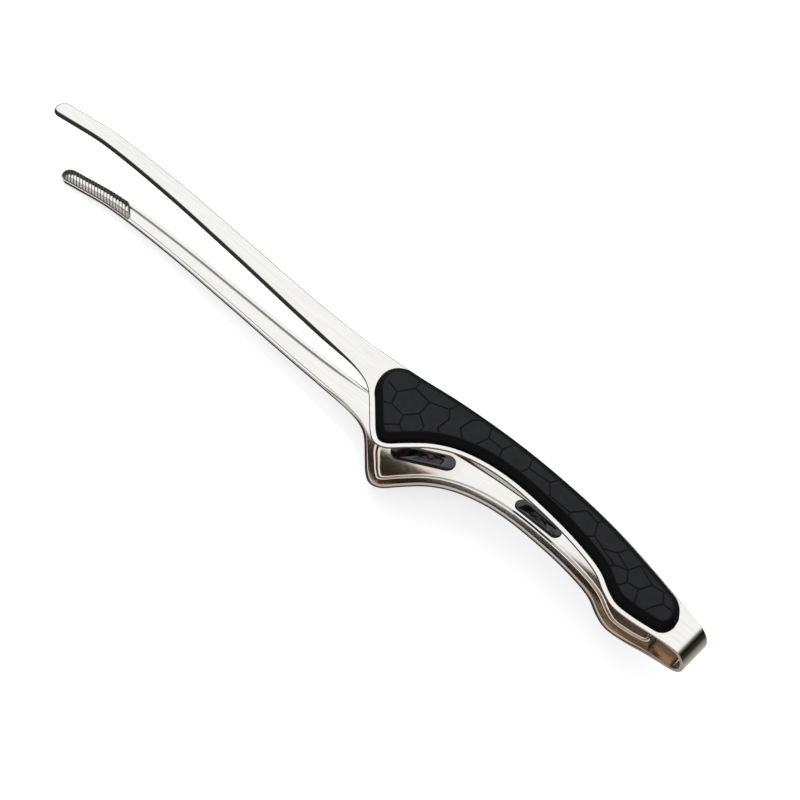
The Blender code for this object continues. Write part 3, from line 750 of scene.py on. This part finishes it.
def apply_nodes(piece, tree, values):
    """Runs a node tree on the piece, with its inputs set by socket identifier."""
    modifier = piece.modifiers.new(tree.name, "NODES")
    modifier.node_group = tree
    for item in tree.interface.items_tree:
        if item.item_type == "SOCKET" and item.in_out == "INPUT" and item.name in values:
            modifier[item.identifier] = values[item.name]
    apply_modifiers(piece)


def remove_object(item):
    mesh = item.data
    bpy.data.objects.remove(item, do_unlink=True)
    bpy.data.meshes.remove(mesh)


def boolean(target, cutter, operation):
    """Applies a Boolean of two closed meshes and removes the other object."""
    step = target.modifiers.new("cut", "BOOLEAN")
    step.operation = operation
    step.object = cutter
    step.solver = "MANIFOLD"
    apply_modifiers(target)
    remove_object(cutter)


def mirrored(piece, name):
    """A copy of an upper piece for the lower arm, turned over the middle plane."""
    bm = bmesh.new()
    bm.from_mesh(piece.data)
    for vert in bm.verts:
        vert.co.z = 2 * MIDDLE_Z - vert.co.z
    bmesh.ops.reverse_faces(bm, faces=bm.faces)
    mesh = piece.data.copy()
    mesh.name = name
    bm.to_mesh(mesh)
    bm.free()
    return new_object(name, mesh)


# Node trees and materials

def feed(made, inputs):
    """Fills a node's inputs. Each is a value, a socket or a list of sockets."""
    for key, value in inputs.items():
        for part in value if isinstance(value, list) else [value]:
            if isinstance(part, bpy.types.NodeSocket):
                made.id_data.links.new(part, made.inputs[key])
            else:
                made.inputs[key].default_value = part


def add(tree, kind, inputs=None, out=0, **settings):
    """Adds a node, fills its inputs and returns one of its outputs."""
    made = tree.nodes.new(kind)
    for key, value in settings.items():
        setattr(made, key, value)
    feed(made, inputs or {})
    return made.outputs[out] if made.outputs else None


def node_group(name, kind, inputs, outputs):
    """A node tree with these sockets, as {label: kind}, and the sockets that bring its inputs."""
    tree = bpy.data.node_groups.new(name, kind)
    for way, sockets in (("INPUT", inputs), ("OUTPUT", outputs)):
        for label, socket in sockets.items():
            tree.interface.new_socket(label, in_out=way, socket_type="NodeSocket" + socket)
    return tree, tree.nodes.new("NodeGroupInput").outputs


def maths(tree, operation, *values):
    """The result of a Math node on numbers or sockets."""
    return add(tree, "ShaderNodeMath", dict(enumerate(values)), operation=operation)


def ranged(tree, value, source, result=(0, 1), **settings):
    """The value carried over from one (low, high) range to another."""
    labels = "From Min", "From Max", "To Min", "To Max"
    ends = dict(zip(labels, (*source, *result)))
    return add(tree, "ShaderNodeMapRange", {"Value": value, **ends}, **settings)


def parts_of(tree, vector):
    """The X, Y and Z sockets of a vector."""
    return add(tree, "ShaderNodeSeparateXYZ", {0: vector}).node.outputs


def mixed(tree, mask, first, second):
    """A colour between two by the mask. Each of the two is a colour or a socket."""
    made = add(tree, "ShaderNodeMix", {0: mask}, data_type="RGBA").node
    ends = (k for k, socket in enumerate(made.inputs) if socket.type == "RGBA")
    for end, value in zip(ends, (first, second)):
        feed(made, {end: value if isinstance(value, bpy.types.NodeSocket) else (*value, 1)})
    return next(socket for socket in made.outputs if socket.type == "RGBA")


def ramped(tree, value, stops):
    """The colour that the value picks from (share, colour) stops."""
    picked = add(tree, "ShaderNodeValToRGB", {"Fac": value})
    ramp = picked.node.color_ramp
    while len(ramp.elements) < len(stops):
        ramp.elements.new(0.5)
    for element, (share, colour) in zip(ramp.elements, stops):
        element.position = share
        element.color = (*colour, 1)
    return picked


def bumped(tree, height, look):
    strength, distance = look
    inputs = {"Strength": strength, "Distance": distance, "Height": height}
    return add(tree, "ShaderNodeBump", inputs)


def grain_group():
    """The grain that the materials share: a fine noise and a cloudy one."""
    name = "surface_grain"
    if name in bpy.data.node_groups:
        return bpy.data.node_groups[name]
    takes = {"Vector": "Vector", "Fine Scale": "Float", "Cloud Scale": "Float"}
    group, given = node_group(name, "ShaderNodeTree", takes, {"Fine": "Float", "Cloud": "Float"})
    noises = {}
    for label, detail in GRAIN_DETAILS:
        inputs = {"Vector": given["Vector"], "Scale": given[label + " Scale"], "Detail": detail}
        noises[label] = add(group, "ShaderNodeTexNoise", inputs)
    add(group, "NodeGroupOutput", noises)
    return group


def grain(tree, vector, stretch, scales):
    """The sockets of the shared grain on stretched coordinates."""
    stretched = add(tree, "ShaderNodeMapping", {"Vector": vector, "Scale": stretch})
    inputs = {"Vector": stretched, "Fine Scale": scales[0], "Cloud Scale": scales[1]}
    return add(tree, "ShaderNodeGroup", inputs, node_tree=grain_group()).node.outputs


def inside_mask(tree, where):
    """1 on the handle's inner faces between the arms, where a painted shade darkens the steel, and 0 on
    the rest of the steel.
    """
    spot, facing = (parts_of(tree, vector) for vector in (where, where.node.outputs["Normal"]))
    inward = maths(tree, "MULTIPLY", maths(tree, "SUBTRACT", MIDDLE_Z, spot["Z"]), facing["Z"])
    along = ranged(tree, spot["X"], (-LENGTH / 2, LENGTH / 2))
    stops = [(share, (level, level, level)) for share, level in INSIDE_SHADE_SHARES]
    return maths(tree, "MULTIPLY", ranged(tree, inward, (0, INSIDE_SHADE_FADE)), ramped(tree, along, stops))


def new_material(name, colour, metallic, rough):
    """A material, and its node tree, its Principled shader and its object coordinates."""
    material = bpy.data.materials.new(name)
    material.use_nodes = True
    material.diffuse_color = (*colour, 1)
    tree = material.node_tree
    shader = tree.nodes["Principled BSDF"]
    feed(shader, {"Base Color": (*colour, 1), "Roughness": sum(rough) / 2, "Metallic": metallic})
    return material, tree, shader, add(tree, "ShaderNodeTexCoord", out="Object")


def grained_material(name, colour, metallic, look, inside_shade_tint=None):
    """A material whose colour, roughness and bump follow the grain, with a painted shade inside the
    handle.
    """
    material, tree, shader, where = new_material(name, colour, metallic, look["rough"])
    spots = grain(tree, where, look["stretch"], look["scales"])
    shade = tuple(look["dark_share"] * part for part in colour)
    base = mixed(tree, ranged(tree, spots["Cloud"], NOISE_RANGE), shade, colour)
    if inside_shade_tint:
        # Painted shade: the steel's colour darkened and warmed on the handles' inner faces
        shaded_colour = tuple(part * tint for part, tint in zip(colour, inside_shade_tint))
        base = mixed(tree, inside_mask(tree, where), base, shaded_colour)
    rough = ranged(tree, spots[look["rough_by"]], NOISE_RANGE, look["rough"])
    relief = bumped(tree, spots["Fine"], look["bump"])
    feed(shader, {"Base Color": base, "Roughness": rough, "Normal": relief})
    return material


def made_once(maker):
    """Lets a maker make its material on the first call and find it by name on the others."""

    def found():
        return bpy.data.materials.get(maker.__name__) or maker(maker.__name__)

    return found


@made_once
def polished_steel(name):
    """Sheet steel with faint rolling lines along the arms."""
    # The handles' inner faces get a painted warm shade
    return grained_material(name, tuple(colours().steel), 1.0, STEEL_LOOK, INSIDE_SHADE_TINT)


@made_once
def blasted_steel(name):
    """Steel between the ridges: rough, and darker than the polished sheet by a painted shade."""
    # Painted shade: the steel's colour darkened between the ridges
    colour = tuple(JAW_FLOOR_SHADE_SHARE * part for part in colours().steel)
    return grained_material(name, colour, 1.0, JAW_FLOOR_LOOK)


@made_once
def glossy_key(name):
    """Glossy moulded plastic with the faint waviness of a moulding."""
    return grained_material(name, tuple(colours().key), 0.0, KEY_LOOK)


@made_once
def moulded_grip(name):
    """Moulded plastic: matte and grained on top, smoother on its sloping sides, which a painted shade
    makes darker.
    """
    look, colour = GRIP_LOOK, tuple(colours().grip)
    material, tree, shader, where = new_material(name, colour, 0.0, look["rough"])
    spots = grain(tree, where, look["stretch"], look["scales"])
    spot = parts_of(tree, where)
    height = maths(tree, "ABSOLUTE", maths(tree, "SUBTRACT", spot["Z"], MIDDLE_Z))
    level = maths(tree, "MULTIPLY_ADD", spot["X"], math.tan(HANDLE_SLOPE), height)
    foot = handle_height(LENGTH / 2)
    rim = [foot + share * sizes().grip_height for share in GRIP_TOP_SHARES]
    top = ranged(tree, level, rim, interpolation_type="SMOOTHSTEP")
    clouds = ranged(tree, spots["Cloud"], NOISE_RANGE, look["cloud_shares"])
    # Painted shade: the sloping sides take this darker colour, and the top's cloudy grain varies towards
    # it
    shade = tuple(look["dark_share"] * part for part in colour)
    feed(shader, {
        "Base Color": mixed(tree, maths(tree, "MULTIPLY", clouds, top), shade, colour),
        "Roughness": ranged(tree, top, (0, 1), look["rough"]),
        "Specular IOR Level": look["specular"],
        "Normal": bumped(tree, maths(tree, "MULTIPLY", spots["Fine"], top), look["bump"]),
    })
    return material


# Pieces

def make_strip():
    """The folded strip: both arms and the bow as one closed mesh."""
    places = row_places()
    sides = side_rows(0, places), side_rows(1, places), nose_rows()
    sweep = math.pi / 2 + HANDLE_SLOPE
    angles = np.linspace(-sweep, sweep, BOW_STEPS + 1)[SEAM_ROWS:-SEAM_ROWS]
    low_near, low_far, low_fan = (arm_points(*rows, -1) for rows in sides)
    high_near, high_far, high_fan = (arm_points(*rows, 1) for rows in sides)
    rows = np.concatenate([
        low_fan, low_near[::-1], bow_points(0, angles), high_near, high_fan[::-1],
        high_far[::-1], bow_points(1, angles)[::-1], low_far,
    ])
    faces = grid_faces(*rows.shape[:2], close_rows=True)
    strip = mesh_object("folded_strip", rows.reshape(-1, 3), faces)
    own_edges_sharp(strip, STRIP_SHARP)
    return strip


def jaw_outline(inset):
    """Plan of the ridged pad: the nose of the strip, cut off at the back by a bulging slanted end."""
    slant = TIP_WIDTH / 2 / math.sin(RIDGE_ANGLE) * RIDGE_ALONG
    back = plan_middle(JAW_LENGTH)[0]
    kept = 1 - 2 * inset / TIP_WIDTH
    sides = []
    for edge, end in ((0, back + slant), (1, back - slant)):
        x = np.linspace(NOSE_LENGTH, end[0], JAW_SIDE_STEPS)
        near, far = plan_edges(x)
        centre = (near + far) / 2
        sides.append(np.stack([x, centre + kept * ((near, far)[edge] - centre)], axis=-1))
    nose = nose_fan(NOSE_LENGTH - inset, kept, NOSE_ANGLES)
    bulge = JAW_BULGE * RIDGE_ACROSS
    t = np.linspace(0, 1, JAW_END_STEPS)[:, None]
    end = bezier((sides[0][-1], sides[0][-1] + bulge, sides[1][-1] + bulge, sides[1][-1]), t)
    return np.concatenate([sides[0][:-1], end, sides[1][-2::-1], nose])


def ridge_tree():
    """Geometry nodes: a row of bars with rounded edges across the jaw, cut to the pad's outline."""
    tree, given = node_group("jaw_ridges", "GeometryNodeTree", {
        "Geometry": "Geometry", "Outline": "Object", "Steel": "Material", "Count": "Int",
        "Start": "Vector", "Step": "Vector", "Half Bar": "Vector", "Width": "Float",
        "Height": "Float",
    }, {"Geometry": "Geometry"})
    row = add(tree, "GeometryNodeMeshLine", {
        "Count": given["Count"], "Start Location": given["Start"], "Offset": given["Step"],
    })
    back = add(tree, "ShaderNodeVectorMath", {0: given["Half Bar"], "Scale": -1}, operation="SCALE")
    bar = add(tree, "GeometryNodeCurvePrimitiveLine", {"Start": back, "End": given["Half Bar"]})
    profile = add(tree, "GeometryNodeCurvePrimitiveQuadrilateral", {
        "Width": maths(tree, "MULTIPLY", given["Height"], 2), "Height": given["Width"],
    })
    rounded = add(tree, "GeometryNodeFilletCurve", {
        "Curve": profile, "Count": RIDGE_ROUND_STEPS,
        "Radius": maths(tree, "MULTIPLY", given["Height"], RIDGE_ROUND_SHARE),
    }, mode="POLY")
    sweep = add(tree, "GeometryNodeCurveToMesh", {
        "Curve": bar, "Profile Curve": rounded, "Fill Caps": True,
    })
    bars = add(tree, "GeometryNodeInstanceOnPoints", {"Points": row, "Instance": sweep})
    real = add(tree, "GeometryNodeRealizeInstances", {"Geometry": bars})
    outline = add(tree, "GeometryNodeObjectInfo", {"Object": given["Outline"]}, out="Geometry")
    both = {"Mesh 2": [real, outline]}
    kept = add(tree, "GeometryNodeMeshBoolean", both, operation="INTERSECT", solver="EXACT")
    coat = add(tree, "GeometryNodeSetMaterial", {"Geometry": kept, "Material": given["Steel"]})
    joined = add(tree, "GeometryNodeJoinGeometry", {"Geometry": [coat, given["Geometry"]]})
    add(tree, "NodeGroupOutput", {"Geometry": joined})
    return tree


def make_jaw(name, side):
    """The pad inside one nose, with its ridges swept across it."""
    height = sizes().ridge_height
    floor = JAW_DEPTH - height
    root, foot = JAW_ROOT_SHARE * sizes().sheet, JAW_FOOT_SHARE * sizes().gutter_depth
    pad = ring_loft(name, [
        place(jaw_outline(inset), -w, side) for inset, w in (
            (JAW_SIDE_WALL + JAW_ROOT_INSET, root), (JAW_SIDE_WALL, foot), (JAW_SIDE_WALL, floor),
        )
    ])
    # The pad's floor between the ridges and its walls take steel with a painted shade
    pad.data.materials.append(blasted_steel())
    plan = jaw_outline(JAW_SIDE_WALL + RIDGE_INSET)
    outline = ring_loft(name + "_outline", [
        place(plan, -w, side) for w in (floor - RIDGE_SUNK, JAW_DEPTH + RIDGE_OVERRUN)
    ])
    tip, back = (plan_middle(x)[0] for x in (0.0, JAW_LENGTH))
    step = (back - tip) * sizes().ridge_pitch / float((back - tip) @ RIDGE_ACROSS)
    start, second, rear = place(np.array([tip, tip + step, (JAW_LENGTH, tip[1])]), -floor, side)
    stride = second - start
    stride[2] = (rear - start)[2] * step[0] / JAW_LENGTH
    reach = TIP_WIDTH * RIDGE_ALONG
    one, other = place((tip + back) / 2 + np.array([reach, -reach]), -floor, side)
    apply_nodes(pad, ridge_tree(), {
        "Outline": outline, "Steel": polished_steel(), "Count": int(JAW_LENGTH / step[0]) + 2,
        "Start": Vector(start), "Step": Vector(stride), "Half Bar": Vector((one - other) / 2),
        "Width": RIDGE_WIDTH_SHARE * sizes().ridge_pitch, "Height": height,
    })
    remove_object(outline)
    own_edges_sharp(pad, JAW_SHARP)
    return pad


def crossing(a, b, c, d):
    """Where the plan lines from a to b and from c to d cross, or None."""
    first, second, apart = b - a, d - c, c - a
    turn = first[0] * second[1] - first[1] * second[0]
    if turn == 0:
        return None
    t = (apart[0] * second[1] - apart[1] * second[0]) / turn
    u = (apart[0] * first[1] - apart[1] * first[0]) / turn
    return a + t * first if 0 < t < 1 and 0 < u < 1 else None


def untangled(loop):
    """The closed loop with each small knot drawn together where it crosses itself."""
    count = len(loop)
    loop = loop.copy()
    for i in range(count):
        for reach in range(KNOT_REACH, 1, -1):
            j = (i + reach) % count
            hit = crossing(loop[i], loop[(i + 1) % count], loop[j], loop[(j + 1) % count])
            if hit is not None:
                loop[[(i + k) % count for k in range(1, reach + 1)]] = hit
                break
    return loop


def moved_in(loop, run):
    """The loop moved inwards by each point's run, where points that would cross over join others."""
    moved = loop + run[:, None] * left_of(np.roll(loop, -1, axis=0) - np.roll(loop, 1, axis=0))
    good = np.nonzero(np.abs(signed_inset(moved, loop)) > GRIP_CLEAR_SHARE * run)[0]
    half = len(loop) // 2
    apart = good[None] - np.arange(len(loop))[:, None]
    nearest = np.abs((apart + half) % len(loop) - half).argmin(axis=1)
    return untangled(moved[good[nearest]])


def grip_rings(loop, far_weight):
    """Rings up the grip's side. far_weight is 0 on the steep near side and 1 on the soft far side."""
    height = sizes().grip_height - SEAT_GAP
    rings = []
    for near_run, near_up, far_run, far_up in zip(
        NEAR_SIDE_RUNS, NEAR_SIDE_SHARES, FAR_SIDE_RUNS, FAR_SIDE_SHARES
    ):
        run = near_run + (far_run - near_run) * far_weight
        up = near_up + (far_up - near_up) * far_weight
        moved = moved_in(loop, run) if near_run else loop
        rings.append(place(moved, SEAT_GAP + up * height, 1))
    return rings


def net_tree():
    """Geometry nodes: round bars along a net of edges, with balls at its corners, as one solid."""
    tree, given = node_group("groove_net", "GeometryNodeTree", {
        "Geometry": "Geometry", "Radius": "Float", "Material": "Material",
    }, {"Geometry": "Geometry"})
    split = add(tree, "GeometryNodeSplitEdges", {"Mesh": given["Geometry"]})
    curve = add(tree, "GeometryNodeMeshToCurve", {"Mesh": split})
    profile = add(tree, "GeometryNodeCurvePrimitiveCircle", {
        "Resolution": NET_BAR_SIDES, "Radius": given["Radius"],
    })
    sweep = add(tree, "GeometryNodeCurveToMesh", {
        "Curve": curve, "Profile Curve": profile, "Fill Caps": True,
    })
    ball = add(tree, "GeometryNodeMeshIcoSphere", {
        "Subdivisions": NET_BALL_LEVEL, "Radius": given["Radius"],
    })
    put = add(tree, "GeometryNodeInstanceOnPoints", {"Points": given["Geometry"], "Instance": ball})
    joined = add(tree, "GeometryNodeJoinGeometry", {"Geometry": [sweep, put]})
    real = add(tree, "GeometryNodeRealizeInstances", {"Geometry": joined})
    island = add(tree, "GeometryNodeInputMeshIsland", out="Island Index")
    groups = {"Geometry": real, "Group ID": island}
    loose = add(tree, "GeometryNodeSplitToInstances", groups, domain="POINT")
    each = {"Mesh 2": loose}
    union = add(tree, "GeometryNodeMeshBoolean", each, operation="UNION", solver="MANIFOLD")
    coat = add(tree, "GeometryNodeSetMaterial", {"Geometry": union, "Material": given["Material"]})
    add(tree, "NodeGroupOutput", {"Geometry": coat})
    return tree


def net_cutter():
    """The groove net as a solid, lying along the top face of the upper grip."""
    names = list(NET_POINTS)
    radius = NET_RADIUS_SHARE * sizes().groove_width
    level = sizes().grip_height + NET_LIFT_SHARE * radius
    points = place(np.array(list(NET_POINTS.values())) * MM, level, 1)
    lines = [[names.index(name) for name in line.split()] for line in NET_LINES]
    mesh = bpy.data.meshes.new("groove_net")
    mesh.from_pydata(points.tolist(), [pair for line in lines for pair in zip(line, line[1:])], [])
    cutter = new_object("groove_net", mesh)
    apply_nodes(cutter, net_tree(), {"Radius": radius, "Material": moulded_grip()})
    return cutter


def make_grip():
    """The upper grip: a moulded cap with a steep near side, a soft far side and a net of grooves."""
    lands = GRIP_NEAR_LAND, GRIP_FAR_LAND
    loop = handle_loop(*lands, GRIP_FRONT_SHARES, GRIP_TAIL_SHARES, GRIP_CAP_SHARES)
    loop = even_loop(loop, GRIP_LOOP_STEPS)
    near, far = plan_edges(loop[:, 0])
    across = (loop[:, 1] - near) / (far - near)
    weight = smooth_step((across - SOFT_START_SHARE) / SOFT_SPAN_SHARE)
    reach = range(-SOFT_BLUR_STEPS, SOFT_BLUR_STEPS + 1)
    weight = np.stack([np.roll(weight, k) for k in reach]).mean(axis=0)
    grip = ring_loft("upper_grip_shell", grip_rings(loop, weight))
    for spot in GRIP_GATE_PLACES:
        plan = circle(np.array(spot), GRIP_GATE_RADIUS, GRIP_GATE_STEPS)
        rings = [place(plan, level, 1) for level in GRIP_GATE_LEVELS]
        boolean(grip, ring_loft("grip_gate", rings), "UNION")
    boolean(grip, net_cutter(), "DIFFERENCE")
    own_edges_sharp(grip, GRIP_SHARP)
    flat_faces(grip, (math.sin(HANDLE_SLOPE), 0, math.cos(HANDLE_SLOPE)))
    return grip


def key_loop(shares, radius):
    """Outline of a key: two half circles joined by straight sides."""
    start, end = (np.array([x * LENGTH, y * BELLY]) for x, y in shares)
    way = end - start
    heading = math.atan2(way[1], way[0])
    points = []
    for middle, first in ((end, heading - math.pi / 2), (start, heading + math.pi / 2)):
        angle = first + np.linspace(0, math.pi, KEY_ARC_STEPS + 1)
        points.append(middle + radius * np.stack([np.cos(angle), np.sin(angle)], axis=-1))
    return np.concatenate(points)


def make_key(name, shares, radius, gate_shares, gate_radius):
    """An upper key: an oblong plug with rounded rim, and the round mark of its mould's gate."""
    depth = sizes().pan_depth
    bottom = depth - sizes().sheet - KEY_STAND
    rings = []
    for turn in np.linspace(0, math.pi / 2, KEY_RIM_STEPS):
        plan = key_loop(shares, radius - KEY_EDGE_ROUND * (1 - math.sin(turn)))
        rings.append(place(plan, bottom + KEY_EDGE_ROUND * (1 - math.cos(turn)), 1))
    rings.append(place(key_loop(shares, radius), depth, 1))
    key = ring_loft(name, rings)
    middle = np.array(gate_shares) * (LENGTH, BELLY)
    mark = []
    for spread, rise in ((1, -1), (1, 1), (GATE_INNER_SHARE, 1), (GATE_INNER_SHARE, -1)):
        plan = circle(middle, spread * gate_radius, GATE_STEPS)
        mark.append(place(plan, bottom + rise * GATE_DEPTH, 1))
    faces = grid_faces(len(mark), GATE_STEPS, True, True)
    boolean(key, mesh_object(name + "_mark", np.concatenate(mark), faces), "DIFFERENCE")
    own_edges_sharp(key, KEY_SHARP)
    return key


class TONGS_OT_strip(bpy.types.Operator):
    """Makes the folded steel strip of both arms and the bow"""

    bl_idname = "tongs.strip"
    bl_label = "Strip"

    def execute(self, context):
        strip = make_strip()
        strip.data.materials.append(polished_steel())
        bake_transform(strip)
        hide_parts("lower_arm", "upper_arm", "tail_bow")
        return {"FINISHED"}


class TONGS_OT_jaws(bpy.types.Operator):
    """Makes the two ridged jaw pads"""

    bl_idname = "tongs.jaws"
    bl_label = "Jaw pads"

    def execute(self, context):
        for body, side in (("lower", -1), ("upper", 1)):
            finish_piece(make_jaw(body + "_jaw_pad", side), body)
        return {"FINISHED"}


class TONGS_OT_grips(bpy.types.Operator):
    """Makes the two moulded grips"""

    bl_idname = "tongs.grips"
    bl_label = "Grips"

    def execute(self, context):
        upper = make_grip()
        lower = mirrored(upper, "lower_grip_shell")
        for piece, body in ((upper, "upper"), (lower, "lower")):
            finish_piece(piece, body, moulded_grip())
            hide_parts(body + "_grip")
        return {"FINISHED"}


class TONGS_OT_keys(bpy.types.Operator):
    """Makes the four keys that hold the grips"""

    bl_idname = "tongs.keys"
    bl_label = "Keys"

    def execute(self, context):
        for spot, shares, radius, gate_shares, gate_radius in (
            ("front", FRONT_KEY_SHARES, FRONT_KEY_RADIUS, FRONT_GATE_SHARES, FRONT_GATE_RADIUS),
            ("rear", REAR_KEY_SHARES, REAR_KEY_RADIUS, REAR_GATE_SHARES, REAR_GATE_RADIUS),
        ):
            name = spot + "_key_plug"
            upper = make_key("upper_" + name, shares, radius, gate_shares, gate_radius)
            lower = mirrored(upper, "lower_" + name)
            for piece, body in ((upper, "upper"), (lower, "lower")):
                finish_piece(piece, body, glossy_key())
                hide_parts(f"{body}_{spot}_key")
        return {"FINISHED"}


# Studio

def make_camera():
    lens = bpy.data.cameras.new("camera")
    lens.lens = CAMERA_LENS
    lens.sensor_width = SENSOR_WIDTH
    lens.clip_start = CLIP_START
    camera = new_object("camera", lens)
    camera.location = CAMERA_PLACE
    camera.rotation_euler = [math.radians(turn) for turn in CAMERA_TURN]
    bpy.context.scene.camera = camera


def make_softbox():
    """A large lamp that looks at the origin."""
    lamp = bpy.data.lights.new("softbox", "AREA")
    lamp.shape = "RECTANGLE"
    lamp.size, lamp.size_y = SOFTBOX_SIZE
    lamp.energy = SOFTBOX_POWER
    lamp.color = SOFTBOX_COLOUR
    made = new_object("softbox", lamp)
    made.location = SOFTBOX_PLACE
    made.rotation_euler = Vector(SOFTBOX_PLACE).to_track_quat("Z", "Y").to_euler()


def seen_mask(tree):
    """1 for rays from the camera and for those that gloss or glass send on."""
    rays = add(tree, "ShaderNodeLightPath").node.outputs
    seen = maths(tree, "MAXIMUM", rays["Is Camera Ray"], rays["Is Glossy Ray"])
    return maths(tree, "MAXIMUM", seen, rays["Is Transmission Ray"])


def make_world():
    """White to the camera and in reflections, and a plainer grey as light."""
    world = bpy.data.worlds.new("studio")
    bpy.context.scene.world = world
    world.use_nodes = True
    tree = world.node_tree
    tree.nodes.clear()
    lit, seen = (
        add(tree, "ShaderNodeBackground", {"Color": WHITE, "Strength": strength})
        for strength in (WORLD_LIGHT, 1.0)
    )
    mix = add(tree, "ShaderNodeMixShader", {0: seen_mask(tree), 1: lit, 2: seen})
    add(tree, "ShaderNodeOutputWorld", {"Surface": mix})


def plate(name, x_reach, y_reach, level):
    """A level rectangle."""
    (x0, x1), (y0, y1) = x_reach, y_reach
    corners = [(x0, y0, level), (x1, y0, level), (x1, y1, level), (x0, y1, level)]
    return mesh_object(name, corners, [(0, 1, 2, 3)])


def make_floor():
    """A pale floor that shows white and keeps a soft shadow."""
    floor = plate("floor", *FLOOR)
    material = bpy.data.materials.new("studio_floor")
    material.use_nodes = True
    tree = material.node_tree
    feed(tree.nodes["Principled BSDF"], {
        "Base Color": (*colours().floor, 1), "Roughness": FLOOR_ROUGHNESS,
        "Specular IOR Level": 0.0, "Emission Color": WHITE,
        "Emission Strength": maths(tree, "MULTIPLY", seen_mask(tree), FLOOR_GLOW),
    })
    floor.data.materials.append(material)


def reflected_only(made, axis, reach, stops):
    """Hides an object from all but reflections. It glows along the axis in (share, colour) stops."""
    material = bpy.data.materials.new(made.name)
    material.use_nodes = True
    tree = material.node_tree
    tree.nodes.clear()
    spot = parts_of(tree, add(tree, "ShaderNodeTexCoord", out="Object"))
    colour = ramped(tree, ranged(tree, spot[axis], reach), stops)
    glow = add(tree, "ShaderNodeEmission", {"Color": colour})
    add(tree, "ShaderNodeOutputMaterial", {"Surface": glow})
    made.data.materials.append(material)
    made.visible_camera = False
    made.visible_diffuse = False
    made.visible_shadow = False


def make_tent():
    """A wide dome round the object, open below."""
    bm = bmesh.new()
    bmesh.ops.create_uvsphere(
        bm, u_segments=TENT_SEGMENTS, v_segments=TENT_RINGS, radius=TENT_RADIUS
    )
    below = [vert for vert in bm.verts if vert.co.z < -TENT_SKIRT]
    bmesh.ops.delete(bm, geom=below, context="VERTS")
    mesh = bpy.data.meshes.new("tent")
    bm.to_mesh(mesh)
    bm.free()
    return new_object("tent", mesh)


class TONGS_OT_stage(bpy.types.Operator):
    """Makes the camera, the floor, the lamp and the cards that the steel reflects"""

    bl_idname = "tongs.stage"
    bl_label = "Stage"

    def execute(self, context):
        context.scene.view_settings.view_transform = "Standard"
        make_camera()
        make_world()
        make_floor()
        make_softbox()
        reflected_only(make_tent(), "Z", (0, TENT_RADIUS), TENT_STOPS)
        for name, place_of_card, stops in CARDS:
            reflected_only(plate(name, *place_of_card), "X", place_of_card[0], stops)
        return {"FINISHED"}


class TONGS_PT_panel(bpy.types.Panel):
    """Lists the pieces of the tongs and their sizes and colours"""

    bl_idname = "TONGS_PT_panel"
    bl_label = "Tongs"
    bl_space_type = "VIEW_3D"
    bl_region_type = "UI"
    bl_category = "Tongs"

    def draw(self, context):
        for operator in OPERATORS:
            self.layout.operator(operator.bl_idname)
        for group in (context.scene.tongs_sizes, context.scene.tongs_colours):
            for name in group.__annotations__:
                self.layout.prop(group, name)


OPERATORS = (TONGS_OT_stage, TONGS_OT_strip, TONGS_OT_jaws, TONGS_OT_grips, TONGS_OT_keys)
CLASSES = (TongsSizes, TongsColours, *OPERATORS, TONGS_PT_panel)


def register():
    for made in CLASSES:
        bpy.utils.register_class(made)
    bpy.types.Scene.tongs_sizes = bpy.props.PointerProperty(type=TongsSizes)
    bpy.types.Scene.tongs_colours = bpy.props.PointerProperty(type=TongsColours)


def unregister():
    del bpy.types.Scene.tongs_colours
    del bpy.types.Scene.tongs_sizes
    for made in reversed(CLASSES):
        bpy.utils.unregister_class(made)


def main():
    register()
    bpy.ops.tongs.stage()
    bpy.ops.tongs.strip()
    bpy.ops.tongs.jaws()
    bpy.ops.tongs.grips()
    bpy.ops.tongs.keys()


if __name__ == "__main__":
    main()
